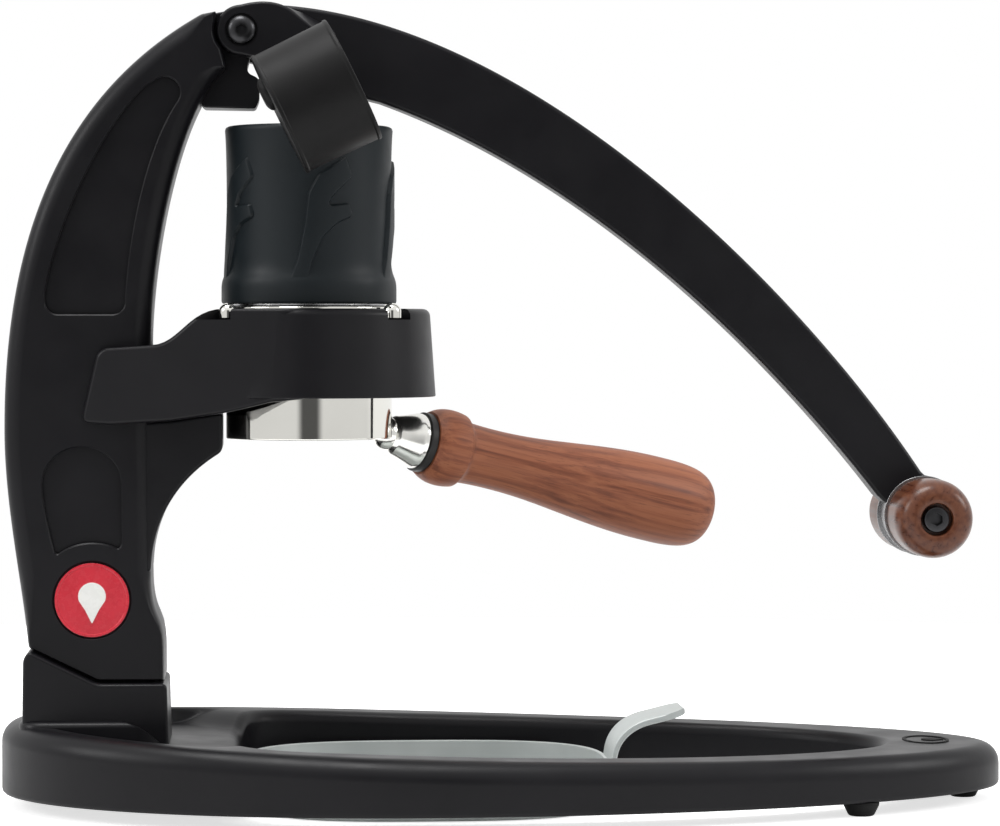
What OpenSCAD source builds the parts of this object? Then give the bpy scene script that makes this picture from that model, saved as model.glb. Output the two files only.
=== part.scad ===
// Manual lever espresso maker on an oval stand
// Lengths are in millimetres. X runs along the base with the post end at -X.
// Z is up from the table, and the origin is the middle of the base on the table.

/* [Base] */
// Length of the base over both ends
base_length = 325; // [315:1:335]
// Width of the base at its widest
base_width = 159; // [153:1:167]
// Height of the underside above the table
foot_height = 4.5; // [3.5:0.5:6]
// Height of the rim at the lever end
rim_front = 18.5; // [17:0.5:20]
// Height of the rim half way along
rim_middle = 21; // [19.5:0.5:22.5]
// Height of the rim at the post end
rim_back = 28; // [26:0.5:30]
// Width of the rim beside the tray
rim_width = 19.5; // [18:0.5:21]
// Width of the solid pad at the lever end
tip_width = 39.5; // [35:0.5:45]

/* [Post] */
// Thickness of the post
post_thickness = 36; // [33:0.5:39]
// Height of the lever pivot above the table
pivot_height = 248.8; // [244:0.2:254]
// Height of the socket's tall side
socket_height = 51.2; // [49:0.2:55]
// Depth of the pockets in the post's sides
pocket_depth = 2.2; // [0.8:0.2:2.6]
// Radius of the round badge
badge_radius = 11.8; // [9:0.2:12.4]

/* [Brew head] */
// Distance from the middle of the base to the brew axis
brew_offset = 63.4; // [61:0.2:66]
// Height of the yoke ring's top face
yoke_height = 158.6; // [155:0.2:162]
// Radius of the yoke ring at its top
ring_radius = 39.2; // [37.5:0.1:40.5]
// Depth of the yoke ring
ring_depth = 27; // [25:0.5:28.5]
// Outer radius of the portafilter body
portafilter_radius = 26.8; // [26:0.1:27.4]
// Length of the portafilter body below the ring's top
portafilter_depth = 40.6; // [38:0.2:43]
// Outer radius of the silicone sleeve
sleeve_radius = 27.1; // [26.2:0.1:27.8]
// Radius of the cylinder bore
bore_radius = 20; // [18.5:0.1:21]

/* [Lever] */
// Distance from the pivot to the brew axis
pivot_reach = 21.7; // [20.5:0.1:22.5]
// Thickness of the lever arm
lever_thickness = 13; // [12:0.2:15]
// Distance from the middle of the base to the handle axis
handle_reach = 136.5; // [130:0.5:142]
// Height of the handle axis above the table
handle_height = 92.5; // [88:0.5:97]
// Largest radius of the wooden knobs
knob_radius = 12.7; // [12.2:0.1:14]
// Length of one knob
knob_length = 24; // [20:0.5:28]

/* [Portafilter grip] */
// Length of the wooden grip
grip_length = 110.5; // [96:0.5:114]
// Slope of the grip below level, in degrees
grip_slope = 13; // [11:0.5:15]
// Turn of the grip away from the lever's plane, in degrees
grip_turn = 26; // [0:1:28]
// Largest radius of the grip
grip_radius = 14.5; // [13.5:0.1:15.2]

/* [Gauge] */
// Front diameter of the gauge case
gauge_diameter = 40.8; // [39:0.2:44]
// Depth of the gauge case
gauge_depth = 26; // [24:0.5:28]
// Tilt of the dial above level, in degrees
gauge_tilt = 26; // [15:1:35]

/* [Drip tray] */
// Length of the tray
tray_length = 120; // [110:1:126]
// Height of the tray's rim
tray_height = 13.4; // [11:0.2:15]
// Width of the tray's lifting tab
tab_width = 26; // [20:1:32]

/* [Hidden] */
$fn = 64;
eps = 0.01;

// Places that other sizes hang on
brew_x = -brew_offset;
pivot_x = brew_x - pivot_reach;
pivot_z = pivot_height;
post_back = -base_length / 2 + 1.8;
post_front = brew_x - 50.7;
post_half = post_thickness / 2;
socket_left = post_back + 6.2;
socket_right = post_front + 5.1;
socket_low = socket_height - 10.6;
socket_floor = 14;
socket_half = post_half + 4;
plug_half = post_half - 5;
plug_left = socket_left + 6.3;
plug_right = post_front - 0.4;
bolt_xs = [plug_left + 8, plug_right - 8];
bolt_r = 3;
vee_x = post_front - 17;
lever_half = lever_thickness / 2;

// Base plan: an egg outside, and an opening that fits the tray at the back
mid_x = -0.077 * base_length;
opening_back = socket_right + 22.8;
base_stations = 72;
shelf_dip = 5;
foot_top_r = 5.7;
foot_tip_r = 4;
foot_spots = [
  [base_length / 2 - 11.5, 0],
  [0.676 * base_length / 2, base_width / 2 - 34],
  [0.676 * base_length / 2, 34 - base_width / 2],
  [socket_right + 2, 24],
  [socket_right + 2, -24]
];

// Yoke and brew head levels
yoke_z = yoke_height;
ring_bottom = yoke_z - ring_depth;
ring_top = yoke_z + 1.3;
ring_bore = portafilter_radius + 0.35;
arm_half = post_half + 2.6;
screw_zs = [yoke_z - 14.5, yoke_z - 25.4];
lug_r = ring_radius - 1.3;
lug_width = 6.6;
pf_bottom = yoke_z - portafilter_depth;
pf_bore = portafilter_radius - 2.4;
flange_r = portafilter_radius + 2.2;
flange_top = yoke_z + 2;
basket_r = pf_bore - 0.2;
basket_depth = 25;
seal_top = flange_top + 0.4;
sleeve_bottom = flange_top + 0.9;
sleeve_top = pivot_z - 30.2;
cylinder_top = sleeve_top - 1.1;
cylinder_r = sleeve_radius - 2.6;
band_r = sleeve_radius + 1.2;
gusset_x = brew_x - portafilter_radius - 1.05;

// Plunger levels
piston_r = bore_radius - 0.3;
piston_bottom = seal_top + 3.6;
piston_height = 13.5;
piston_top = piston_bottom + piston_height;
ring_minor = 1.15;
ring_major = bore_radius - 0.1 - ring_minor;
head_top = pivot_z - 18.2;
head_bottom = head_top - 15;
head_r = 8;
port_z = pivot_z - 24.2;

// Lever
nose_r = 8;
nose_z = head_top + 0.3 + nose_r;
cheek_in = 8.5;
cheek_out = 16;
cheek_r = 8;
crotch_r = 10.6;
pin_r = 3;
bush_r = 5;
handle_x = handle_reach;
handle_z = handle_height;
hub_r = knob_radius - 0.7;
hub_half = lever_half + 0.2;
washer_out = hub_half + 0.6;
knob_in = washer_out + 0.05;
knob_out = knob_in + knob_length;
knob_seat = knob_out - 5;

// Gauge frame: local Z is the way the dial faces, and the stem leaves along +Y
gauge_r = gauge_diameter / 2;
gauge_back_r = gauge_r - 0.3;
gauge_y = -(sleeve_radius + gauge_r + 1.4);
gauge_shift = 1.8;
gauge_x = brew_x + gauge_shift * cos(gauge_tilt);
gauge_z = port_z + gauge_shift * sin(gauge_tilt);
gauge_front = gauge_depth / 2;
case_wall = 2.2;
case_bore = gauge_r - case_wall - 2;
dial_z = gauge_front - 9;
lens_z = gauge_front - 3.4;

// Grip frame: local Z runs out along the grip from the portafilter's wall
grip_z = pf_bottom + 1.4;
neck_end = 13.38;
grip_start = neck_end + 2.82;
grip_end = grip_start + grip_length;

// Tray
tray_half = tray_length / 2;
tray_x = opening_back + 0.5 + tray_half;
tray_y = base_width / 2 - rim_width - 3.2;
tray_skin = 1.2;
tray_points = 64;

// Points of a cubic curve between a and d
function curve(a, b, c, d, n) = [
  for (i = [0:n])
    let (t = i / n)
      pow(1 - t, 3) * a + 3 * pow(1 - t, 2) * t * b + 3 * (1 - t) * t * t * c + t * t * t * d
];

// Points of an arc about m
function arc(m, r, from, to, n) = [
  for (i = [0:n])
    let (a = from + (to - from) * i / n)
      [m[0] + r * cos(a), m[1] + r * sin(a)]
];

function backwards(p) = [for (i = [len(p) - 1:-1:0]) p[i]];

function unit(v) = v / norm(v);

// How sharply an outline turns at point i
function turn(p, i) =
  let (
    n = len(p),
    u = unit(p[i] - p[(i + n - 1) % n]),
    v = unit(p[(i + 1) % n] - p[i])
  )
    acos(max(-1, min(1, u * v)));

// An anticlockwise outline moved inwards by d, and by less within reach of a sharp tip
function inset(p, d, reach) =
  let (
    n = len(p),
    tips = [for (i = [0:n - 1]) if (turn(p, i) > 95) p[i]]
  )
    [
      for (i = [0:n - 1])
        let (
          v = unit(p[(i + 1) % n] - p[(i + n - 1) % n]),
          share = min(concat([1], [for (t = tips) 0.1 + 0.9 * norm(p[i] - t) / reach]))
        )
          p[i] + share * d * [-v[1], v[0]]
    ];

// Corner points rounded to radius r with n steps each
function rounded(p, r, n) = [
  for (i = [0:len(p) - 1])
    let (
      m = len(p),
      u = unit(p[(i + m - 1) % m] - p[i]),
      v = unit(p[(i + 1) % m] - p[i]),
      half = acos(u * v) / 2,
      reach = r / tan(half),
      mid = p[i] + unit(u + v) * r / sin(half),
      s = p[i] + u * reach - mid,
      e = p[i] + v * reach - mid,
      from = atan2(s[1], s[0]),
      swing = ((atan2(e[1], e[0]) - from + 540) % 360) - 180
    )
      for (k = [0:n])
        let (a = from + swing * k / n)
          mid + r * [cos(a), sin(a)]
];

// Twice the area of a triangle, above zero when it runs anticlockwise
function turned(a, b, c) = (b[0] - a[0]) * (c[1] - a[1]) - (b[1] - a[1]) * (c[0] - a[0]);

function holds(a, b, c, q) = turned(a, b, q) >= 0 && turned(b, c, q) >= 0 && turned(c, a, q) >= 0;

// How well shaped the triangle at place i of the walk w is, or 0 when it can't be cut off
function ear(p, w, i) =
  let (
    m = len(w),
    a = p[w[(i + m - 1) % m]],
    b = p[w[i]],
    c = p[w[(i + 1) % m]],
    area = turned(a, b, c),
    others = [for (k = [2:m - 2]) p[w[(i + k) % m]]]
  )
    area <= 0 || len([for (q = others) if (holds(a, b, c, q)) q]) > 0
    ? 0
    : area / max(norm(b - a), norm(c - b), norm(c - a)) ^ 2;

// Triangles that fill an anticlockwise outline, cut off one at a time
function ears(p, w, found = []) = len(w) == 3
  ? concat(found, [w])
  : let (
      m = len(w),
      marks = [for (i = [0:m - 1]) ear(p, w, i)],
      e = search(max(marks), marks)[0],
      cut = [w[(e + m - 1) % m], w[e], w[(e + 1) % m]],
      rest = [for (i = [0:m - 1]) if (i != e) w[i]]
    )
      ears(p, rest, concat(found, [cut]));

// A solid through closed rings of points, with flat ends filled by the triangles in cap
module loft(rings, cap) {
  n = len(rings[0]);
  m = len(rings);
  points = [for (ring = rings) for (p = ring) p];
  sides = [
    for (j = [0:m - 2])
      for (i = [0:n - 1])
        for (k = [0:1])
          let (a = j * n + i, b = j * n + (i + 1) % n, c = a + n, d = b + n)
            k == 0 ? [a, b, d] : [a, d, c]
  ];
  first = [for (t = cap) [t[2], t[1], t[0]]];
  last = [for (t = cap) (m - 1) * n * [1, 1, 1] + t];
  polyhedron(points, concat(sides, first, last), convexity = 8);
}

// A plate in the XZ plane with its edges rounded to r
module soft_plate(p, half, r) {
  steps = [0, 35, 65, 90];
  rows = concat(
    [for (s = [0, 1, 2, 3]) [-half + r * (1 - cos(steps[s])), r * (1 - sin(steps[s]))]],
    [for (s = [3, 2, 1, 0]) [half - r * (1 - cos(steps[s])), r * (1 - sin(steps[s]))]]
  );
  rings = [for (row = rows) [for (q = inset(p, row[1], 4 * r)) [q[0], row[0], q[1]]]];
  loft(rings, ears(inset(p, r, 4 * r), [for (i = [0:len(p) - 1]) i]));
}

// A plain plate in the XZ plane between two Y positions
module plate(p, from, to) {
  translate([0, to, 0])
    rotate([90, 0, 0])
      linear_extrude(to - from)
        polygon(p);
}

// A round bar along Y at a place in the XZ plane
module bar(p, r, from, to) {
  translate([p[0], to, p[1]])
    rotate([90, 0, 0])
      cylinder(h = to - from, r = r);
}

// A round bar along X
module bar_x(y, z, r, from, to) {
  translate([from, y, z])
    rotate([0, 90, 0])
      cylinder(h = to - from, r = r);
}

// A turned shape about the brew axis
module brew_turn(p) {
  translate([brew_x, 0, 0])
    rotate_extrude($fn = 96)
      polygon(p);
}

// A turned shape along Y at the handle, on side -1 or 1
module handle_turn(p, side) {
  translate([handle_x, 0, handle_z])
    rotate([-90 * side, 0, 0])
      rotate_extrude()
        polygon(p);
}

module grip_frame() {
  translate([brew_x, 0, grip_z])
    rotate([0, 0, grip_turn])
      translate([portafilter_radius, 0, 0])
        rotate([0, 90 + grip_slope, 0])
          children();
}

module gauge_frame() {
  translate([gauge_x, gauge_y, gauge_z])
    rotate([0, 90 - gauge_tilt, 0])
      children();
}

// Base
function rim_z(x) =
  let (k = 2 * x / base_length)
    rim_middle + (rim_front - rim_back) / 2 * k + ((rim_front + rim_back) / 2 - rim_middle) * k * k;

function oval(c, s, a, b, n) = pow(pow(abs(c) / a, n) + pow(abs(s) / b, n), -1 / n);

function outer_r(c, s) = c > 0
  ? oval(c, s, base_length / 2 - mid_x, base_width / 2, 1.85)
  : oval(c, s, base_length / 2 + mid_x, base_width / 2, 2.1);

function inner_r(c, s) = c > 0
  ? oval(c, s, base_length / 2 - tip_width - mid_x, base_width / 2 - rim_width, 2)
  : oval(c, s, mid_x - opening_back, base_width / 2 - rim_width, 6);

function ease(t) =
  let (k = max(0, min(1, t)))
    k * k * (3 - 2 * k);

// One point of the rim: r out from the middle, at a height or a drop below the rim's top
function rim_at(c, s, r, z) = [mid_x + r * c, r * s, z];
function rim_top(c, s, r, drop) = [mid_x + r * c, r * s, rim_z(mid_x + r * c) - drop];

function rim_section(c, s) =
  let (
    ro = outer_r(c, s),
    ri = inner_r(c, s),
    w = ro - ri,
    dip = c < 0 ? shelf_dip * ease((w - 26) / 16) : 0,
    slope_end = ro - min(15, w - 4)
  )
    concat(
      [rim_at(c, s, ro - 1.5, foot_height), rim_at(c, s, ro, foot_height + 1.5)],
      [for (a = [0:22.5:90]) rim_top(c, s, ro - 7 * (1 - cos(a)), 7 * (1 - sin(a)))],
      [rim_top(c, s, ro - 11, 0), rim_top(c, s, slope_end, dip)],
      [for (a = [0:30:90]) rim_top(c, s, ri + 4 * (1 - sin(a)) - eps, dip + 4 * (1 - cos(a)))],
      [rim_at(c, s, ri, foot_height + 1), rim_at(c, s, ri + 1, foot_height)]
    );

module base_ring() {
  n = base_stations;
  rings = [
    for (i = [0:n - 1])
      let (d = unit([cos(360 * i / n), 0.55 * sin(360 * i / n)]))
        rim_section(d[0], d[1])
  ];
  m = len(rings[0]);
  faces = [
    for (i = [0:n - 1])
      for (j = [0:m - 1])
        for (k = [0:1])
          let (
            next = (i + 1) % n,
            over = (j + 1) % m,
            a = i * m + j,
            b = i * m + over,
            c = next * m + j,
            d = next * m + over
          )
            k == 0 ? [a, b, d] : [a, d, c]
  ];
  polyhedron([for (r = rings) for (p = r) p], faces, convexity = 8);
}

module base() {
  color([0.07, 0.07, 0.075])
    difference() {
      union() {
        base_ring();
        translate([0, 0, foot_height + 4])
          linear_extrude(rim_back + 0.9 - foot_height - 4)
            polygon(rounded([
              [socket_left - 1.6, -socket_half - 3.5],
              [socket_right - 1, -socket_half - 3.5],
              [socket_right - 1, socket_half + 3.5],
              [socket_left - 1.6, socket_half + 3.5]
            ], 6, 6));
        plate([
          [socket_left, foot_height + 5],
          [socket_right, foot_height + 5],
          [socket_right, socket_low],
          [vee_x, socket_low],
          [socket_left + 1.8, socket_height],
          [socket_left, socket_height - 2.5]
        ], -socket_half, socket_half);
      }
      translate([plug_left - 0.2, -plug_half - 0.2, socket_floor])
        cube([plug_right - plug_left + 0.4, 2 * plug_half + 0.4, 60]);
      for (x = bolt_xs)
        translate([x, 0, 0]) {
          cylinder(h = foot_height + 5.4, r = 5.6);
          cylinder(h = socket_floor + 1, r = bolt_r + 0.2);
        }
      for (p = foot_spots)
        translate([p[0], p[1], foot_height - 1])
          cylinder(h = 4.2, r = 3.05);
    }
}

module base_feet() {
  color([0.05, 0.05, 0.05])
    for (p = foot_spots)
      translate([p[0], p[1], 0])
        rotate_extrude()
          polygon([
            [0, 0],
            [foot_tip_r, 0],
            [foot_top_r, foot_height - 1],
            [foot_top_r, foot_height],
            [3, foot_height],
            [3, foot_height + 3],
            [0, foot_height + 3]
          ]);
}

// Post
post_outline = concat(
  curve(
    [post_back + 7.6, socket_height + 0.5],
    [post_back + 5.2, socket_height + 23],
    [post_back, yoke_z - 61],
    [post_back, yoke_z - 37.7], 6),
  [for (p = curve(
    [post_back, yoke_z - 37.7],
    [post_back, yoke_z + 12.2],
    [post_back + 11.5, pivot_z - 24],
    [pivot_x - 12.7, pivot_z + 5.1], 16)) if (p[1] > yoke_z - 37) p],
  [for (k = [0:3]) [pivot_x, pivot_z] + (cheek_r + 1.8 - 0.4 * k) * [cos(143 + 6 * k), sin(143 + 6 * k)]],
  arc([pivot_x, pivot_z], cheek_r + 0.6, 168, 222, 6),
  curve(
    [pivot_x - 4.6, pivot_z - 12.2],
    [pivot_x - 19.4, pivot_z - 23.1],
    [post_front + 0.6, yoke_z + 19.4],
    [post_front, yoke_z - 8.7], 12),
  curve(
    [post_front, socket_low + 35],
    [post_front, socket_low + 18.5],
    [post_front + 4.3, socket_low + 23.5],
    [post_front + 4.3, socket_low + 9], 5),
  [
    [post_front + 4.3, socket_low + 0.4],
    [vee_x, socket_low + 0.4]
  ]
);

tongue_outline = [
  [pivot_x - 20, pivot_z - 12],
  [pivot_x - 12, pivot_z - 24.4],
  [pivot_x + 4.6, pivot_z - 24.6],
  [pivot_x + 5.8, pivot_z - 21.6],
  [pivot_x + 5.8, pivot_z - 15.7],
  [pivot_x + 4.9, pivot_z - 14.6],
  [pivot_x + 2.4, pivot_z - 13.4],
  [pivot_x + 1.8, pivot_z - 11.9],
  [pivot_x + 5, pivot_z],
  [pivot_x, pivot_z + cheek_r - 0.1],
  [pivot_x - 5.8, pivot_z + 6.4],
  [pivot_x - 9, pivot_z + 5.8],
  [pivot_x - 14, pivot_z + 3.6]
];

badge_at = [post_front - 18.7, socket_low + 26.5];

upper_pocket = concat(
  backwards(curve(
    [post_back + 13.3, yoke_z + 6.2],
    [post_back + 15.7, yoke_z + 24.4],
    [pivot_x - 45.4, pivot_z - 32.3],
    [pivot_x - 30.4, pivot_z - 18.2], 10)),
  arc([post_back + 17.3, yoke_z + 3.5], 4, 180, 270, 4),
  arc([post_front - 12, yoke_z + 3.5], 4, 270, 355, 4),
  curve(
    [post_front - 8, yoke_z + 5.5],
    [post_front - 6.5, yoke_z + 27.4],
    [pivot_x - 30.4, pivot_z - 36.3],
    [pivot_x - 20.8, pivot_z - 22.2], 8),
  arc([pivot_x - 24.3, pivot_z - 20.1], 4.9, -25, 130, 8)
);

lower_pocket = concat(
  [[post_front - 9.3, yoke_z - 73.8]],
  [for (a = [0:15:180]) [post_front - 21.9 + 12.5 * cos(a), yoke_z - 54.6 + 11.8 * sin(a)]],
  curve(
    [post_front - 34.3, yoke_z - 56.5],
    [post_front - 34, yoke_z - 63],
    [post_front - 31.5, yoke_z - 72],
    [post_front - 30.6, yoke_z - 76.2], 4),
  curve(
    [post_front - 29.6, yoke_z - 76.9],
    [post_front - 24, yoke_z - 72.4],
    [post_front - 16, yoke_z - 72.2],
    [post_front - 10.2, yoke_z - 75.2], 6)
);

gusset_outline = concat(
  curve(
    [gusset_x, yoke_z - 44.3],
    [post_front + 6.3, yoke_z - 53.9],
    [post_front, yoke_z - 69],
    [post_front, yoke_z - 83], 10),
  [
    [post_front - 4, yoke_z - 83],
    [post_front - 4, yoke_z - 36],
    [post_front, yoke_z - 34.7],
    [post_front + 6.4, yoke_z - 34.3],
    [gusset_x, yoke_z - 31.8]
  ]
);

module post() {
  color([0.07, 0.07, 0.075])
    difference() {
      union() {
        soft_plate(backwards(post_outline), post_half, 3.5);
        plate(tongue_outline, -8, 8);
        bar([pivot_x, pivot_z], cheek_r, -8, 8);
        plate(gusset_outline, -12, 12);
        translate([plug_left, -plug_half, socket_floor])
          cube([plug_right - plug_left, 2 * plug_half, socket_height - socket_floor + 8]);
      }
      for (y = [-post_half, post_half]) {
        plate(upper_pocket, y - pocket_depth, y + pocket_depth);
        plate(lower_pocket, y - pocket_depth, y + pocket_depth);
      }
      bar(badge_at, badge_radius + 0.4, -post_half - 1, 1.2 - post_half);
      bar([pivot_x, pivot_z], bush_r + 0.02, -9, 9);
      for (x = bolt_xs)
        translate([x, 0, socket_floor - 1])
          cylinder(h = 23, r = bolt_r + 0.03);
      for (z = screw_zs)
        bar_x(0, z, 2.55, post_front - 14.4, post_front + 1);
    }
}

module post_bolts() {
  color([0.25, 0.25, 0.26])
    for (x = bolt_xs)
      translate([x, 0, 0])
        difference() {
          union() {
            translate([0, 0, foot_height + 0.8])
              cylinder(h = 4.6, r = 5);
            translate([0, 0, foot_height + 5])
              cylinder(h = socket_floor + 16 - foot_height, r = bolt_r);
          }
          cylinder(h = foot_height + 3.4, r = 2.9, $fn = 6);
        }
}

module badge() {
  color([0.75, 0.06, 0.1])
    bar(badge_at, badge_radius, -post_half - 0.1, 1.18 - post_half);
}

module pivot_bush() {
  color([0.75, 0.6, 0.3])
    difference() {
      bar([pivot_x, pivot_z], bush_r, -8, 8);
      bar([pivot_x, pivot_z], pin_r + 0.05, -9, 9);
    }
}

module pivot_washers() {
  color([0.1, 0.1, 0.1])
    for (y = [-8.45, 8.05])
      difference() {
        bar([pivot_x, pivot_z], 6.5, y, y + 0.4);
        bar([pivot_x, pivot_z], pin_r + 0.2, y - 1, y + 2);
      }
}

// Brew yoke
arm_top = curve(
  [brew_x - 27, ring_top],
  [brew_x - 38.5, ring_top],
  [brew_x - 41, yoke_z - 9.8],
  [brew_x - 50.2, yoke_z - 10.3], 8);

yoke_side = concat(
  [
    [post_front - 22, yoke_z - 34.9],
    [post_front - 12.5, yoke_z - 35.5],
    [post_front, yoke_z - 34.7],
    [post_front + 6.4, yoke_z - 34.3],
    [gusset_x, yoke_z - 31.8],
    [brew_x - 20.6, yoke_z - 30.2],
    [brew_x - 12.7, ring_bottom - 1.2],
    [brew_x, ring_bottom],
    [brew_x, ring_top]
  ],
  arm_top,
  [
    [post_front - 14, yoke_z - 11.2],
    [post_front - 16.6, yoke_z - 11.8]
  ]
);

// The ring's top falls away towards the post along the arms' own slope
ring_slope = concat(
  arm_top,
  [
    [brew_x - 60, yoke_z - 10.3],
    [brew_x - 60, yoke_z + 10],
    [brew_x - 27, yoke_z + 10]
  ]
);

arm_far = [post_front - 22 - brew_x, arm_half];
arm_turn = acos((ring_radius + 0.6) / norm(arm_far));
arm_angle = atan2(arm_far[1], arm_far[0]) - arm_turn;
arm_touch = (ring_radius + 0.6) * [cos(arm_angle), sin(arm_angle)];

module brew_yoke() {
  color([0.07, 0.07, 0.075])
    difference() {
      union() {
        intersection() {
          plate(yoke_side, -60, 60);
          translate([brew_x, 0, yoke_z - 60])
            linear_extrude(80)
              polygon([
                [0, arm_touch[1]],
                arm_touch,
                arm_far,
                [arm_far[0] - 1, arm_half],
                [arm_far[0] - 1, -arm_half],
                [arm_far[0], -arm_half],
                [arm_touch[0], -arm_touch[1]],
                [0, -arm_touch[1]]
              ]);
        }
        translate([brew_x, 0, ring_bottom])
          cylinder(h = ring_top - ring_bottom, r1 = ring_radius + 1.8, r2 = ring_radius, $fn = 96);
      }
      translate([brew_x, 0, ring_bottom - 20])
        cylinder(h = ring_depth + 40, r = ring_bore, $fn = 96);
      translate([brew_x, 0, yoke_z])
        cylinder(h = 10, r = flange_r + 0.4, $fn = 96);
      plate(ring_slope, -60, 60);
      translate([post_front - 60, -post_half - 0.02, yoke_z - 60])
        cube([60, post_thickness + 0.04, 90]);
      for (a = [45:90:315])
        translate([brew_x, 0, yoke_z - 2.2])
          rotate([0, 0, a])
            translate([ring_bore - 3, -4.2, 0])
              cube([ring_radius + 3 - ring_bore + 3, 8.4, 10]);
      for (z = screw_zs) {
        bar_x(0, z, 2.6, post_front - 1, brew_x);
        bar_x(0, z, 4.4, brew_x - ring_bore - 5, brew_x);
      }
    }
}

module yoke_screws() {
  color([0.25, 0.25, 0.26])
    for (z = screw_zs)
      difference() {
        union() {
          bar_x(0, z, 4.2, brew_x - ring_bore - 5, brew_x - ring_bore - 0.8);
          bar_x(0, z, 2.5, post_front - 14, brew_x - ring_bore - 4);
        }
        translate([brew_x - ring_bore - 3.2, 0, z])
          rotate([0, 90, 0])
            cylinder(h = 9, r = 2.3, $fn = 6);
      }
}

// Portafilter
module portafilter() {
  color([0.8, 0.8, 0.82])
    union() {
      brew_turn([
        [pf_bore, pf_bottom],
        [portafilter_radius - 0.8, pf_bottom],
        [portafilter_radius, pf_bottom + 0.8],
        [portafilter_radius, yoke_z],
        [flange_r, yoke_z],
        [flange_r, flange_top - 0.4],
        [flange_r - 0.4, flange_top],
        [pf_bore + 1.3, flange_top],
        [pf_bore + 1.3, flange_top - 0.9],
        [pf_bore, flange_top - 0.9]
      ]);
      for (a = [45:90:315])
        translate([brew_x, 0, yoke_z - 1.9])
          rotate([0, 0, a]) {
            translate([portafilter_radius - 1.2, -lug_width / 2, 0])
              cube([lug_r - portafilter_radius + 1.2, lug_width, 2.4]);
            translate([lug_r - 1.2, 0, 0.3])
              rotate_extrude($fn = 32)
                polygon(concat([[0, 0], [3, 0]], arc([0, 1.7], 3, 0, 90, 8)));
          }
    }
}

module filter_basket() {
  color([0.7, 0.7, 0.72])
    difference() {
      brew_turn([
        [0, flange_top - basket_depth],
        [basket_r - 2, flange_top - basket_depth],
        [basket_r, flange_top - basket_depth + 2],
        [basket_r, flange_top - 0.85],
        [pf_bore + 1.1, flange_top - 0.85],
        [pf_bore + 1.1, flange_top - 0.05],
        [basket_r - 0.7, flange_top - 0.05],
        [basket_r - 0.7, flange_top - basket_depth + 2.2],
        [basket_r - 2.3, flange_top - basket_depth + 0.7],
        [0, flange_top - basket_depth + 0.7]
      ]);
      for (k = [1:3])
        for (a = [0:60 / k:359])
          translate([brew_x + 6 * k * cos(a), 6 * k * sin(a), flange_top - basket_depth - 1])
            cylinder(h = 3, r = 0.9, $fn = 16);
    }
}

module portafilter_neck() {
  color([0.8, 0.8, 0.82])
    difference() {
      grip_frame()
        rotate_extrude()
          polygon(concat(
            arc([0, 1.4], 5.6, -90, 10, 8),
            curve([6.4, 3.4], [7.1, 6], [8.2, 9], [9.1, 11.5], 6),
            [
              [9.2, 12.2],
              [9.2, neck_end],
              [0, neck_end]
            ]
          ));
      translate([brew_x, 0, pf_bottom - 0.02])
        cylinder(h = 60, r = portafilter_radius + 0.02, $fn = 96);
      grip_frame()
        translate([0, 0, 1.5])
          cylinder(h = 20, r = 4.05);
    }
}

module grip_ferrule() {
  color([0.05, 0.05, 0.05])
    grip_frame()
      difference() {
        translate([0, 0, neck_end + 0.04])
          cylinder(h = grip_start - neck_end - 0.06, r = 9.9);
        cylinder(h = 20, r = 4.1);
      }
}

// Grip outline: how far along, and radius
function grip_at(k) = grip_start + k * grip_length;
grip_outline = concat(
  [[grip_radius - 3.9, grip_at(0)]],
  curve(
    [grip_radius - 3.6, grip_at(0.005)],
    [grip_radius - 1.5, grip_at(0.03)],
    [grip_radius - 1.4, grip_at(0.085)],
    [grip_radius - 4, grip_at(0.115)], 6),
  curve(
    [grip_radius - 4.3, grip_at(0.13)],
    [grip_radius - 4.9, grip_at(0.2)],
    [grip_radius - 4.8, grip_at(0.3)],
    [grip_radius - 3.7, grip_at(0.4)], 6),
  curve(
    [grip_radius - 3.5, grip_at(0.42)],
    [grip_radius - 1.6, grip_at(0.58)],
    [grip_radius, grip_at(0.68)],
    [grip_radius, grip_at(0.82)], 6),
  curve(
    [grip_radius, grip_at(0.85)],
    [grip_radius - 0.1, grip_at(0.95)],
    [grip_radius - 1.6, grip_at(1)],
    [grip_radius - 7, grip_at(1)], 6)
);

module portafilter_grip() {
  color([0.42, 0.22, 0.14])
    grip_frame()
      difference() {
        rotate_extrude()
          polygon(concat([[0, grip_at(0)]], grip_outline, [[0, grip_at(1)]]));
        cylinder(h = grip_at(0.6), r = 4.1);
      }
}

module grip_rod() {
  color([0.6, 0.6, 0.62])
    grip_frame()
      translate([0, 0, 1.6])
        cylinder(h = grip_at(0.6) - 1.7, r = 4);
}

// Brew chamber
module dispersion_screen() {
  color([0.7, 0.7, 0.72])
    difference() {
      brew_turn([
        [0, flange_top - 1.2],
        [bore_radius + 1.2, flange_top - 1.2],
        [bore_radius + 1.2, flange_top - 0.2],
        [bore_radius - 0.04, flange_top - 0.2],
        [bore_radius - 0.04, seal_top + 2.2],
        [bore_radius - 1, seal_top + 2.2],
        [bore_radius - 1, flange_top - 0.2],
        [0, flange_top - 0.2]
      ]);
      for (k = [1:3])
        for (a = [0:60 / k:359])
          translate([brew_x + 5.4 * k * cos(a), 5.4 * k * sin(a), flange_top - 3])
            cylinder(h = 6, r = 0.9, $fn = 16);
    }
}

module chamber_seal() {
  color([0.6, 0.15, 0.1])
    brew_turn([
      [bore_radius + 1.5, flange_top],
      [cylinder_r, flange_top],
      [cylinder_r, seal_top],
      [bore_radius + 1.5, seal_top]
    ]);
}

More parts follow.
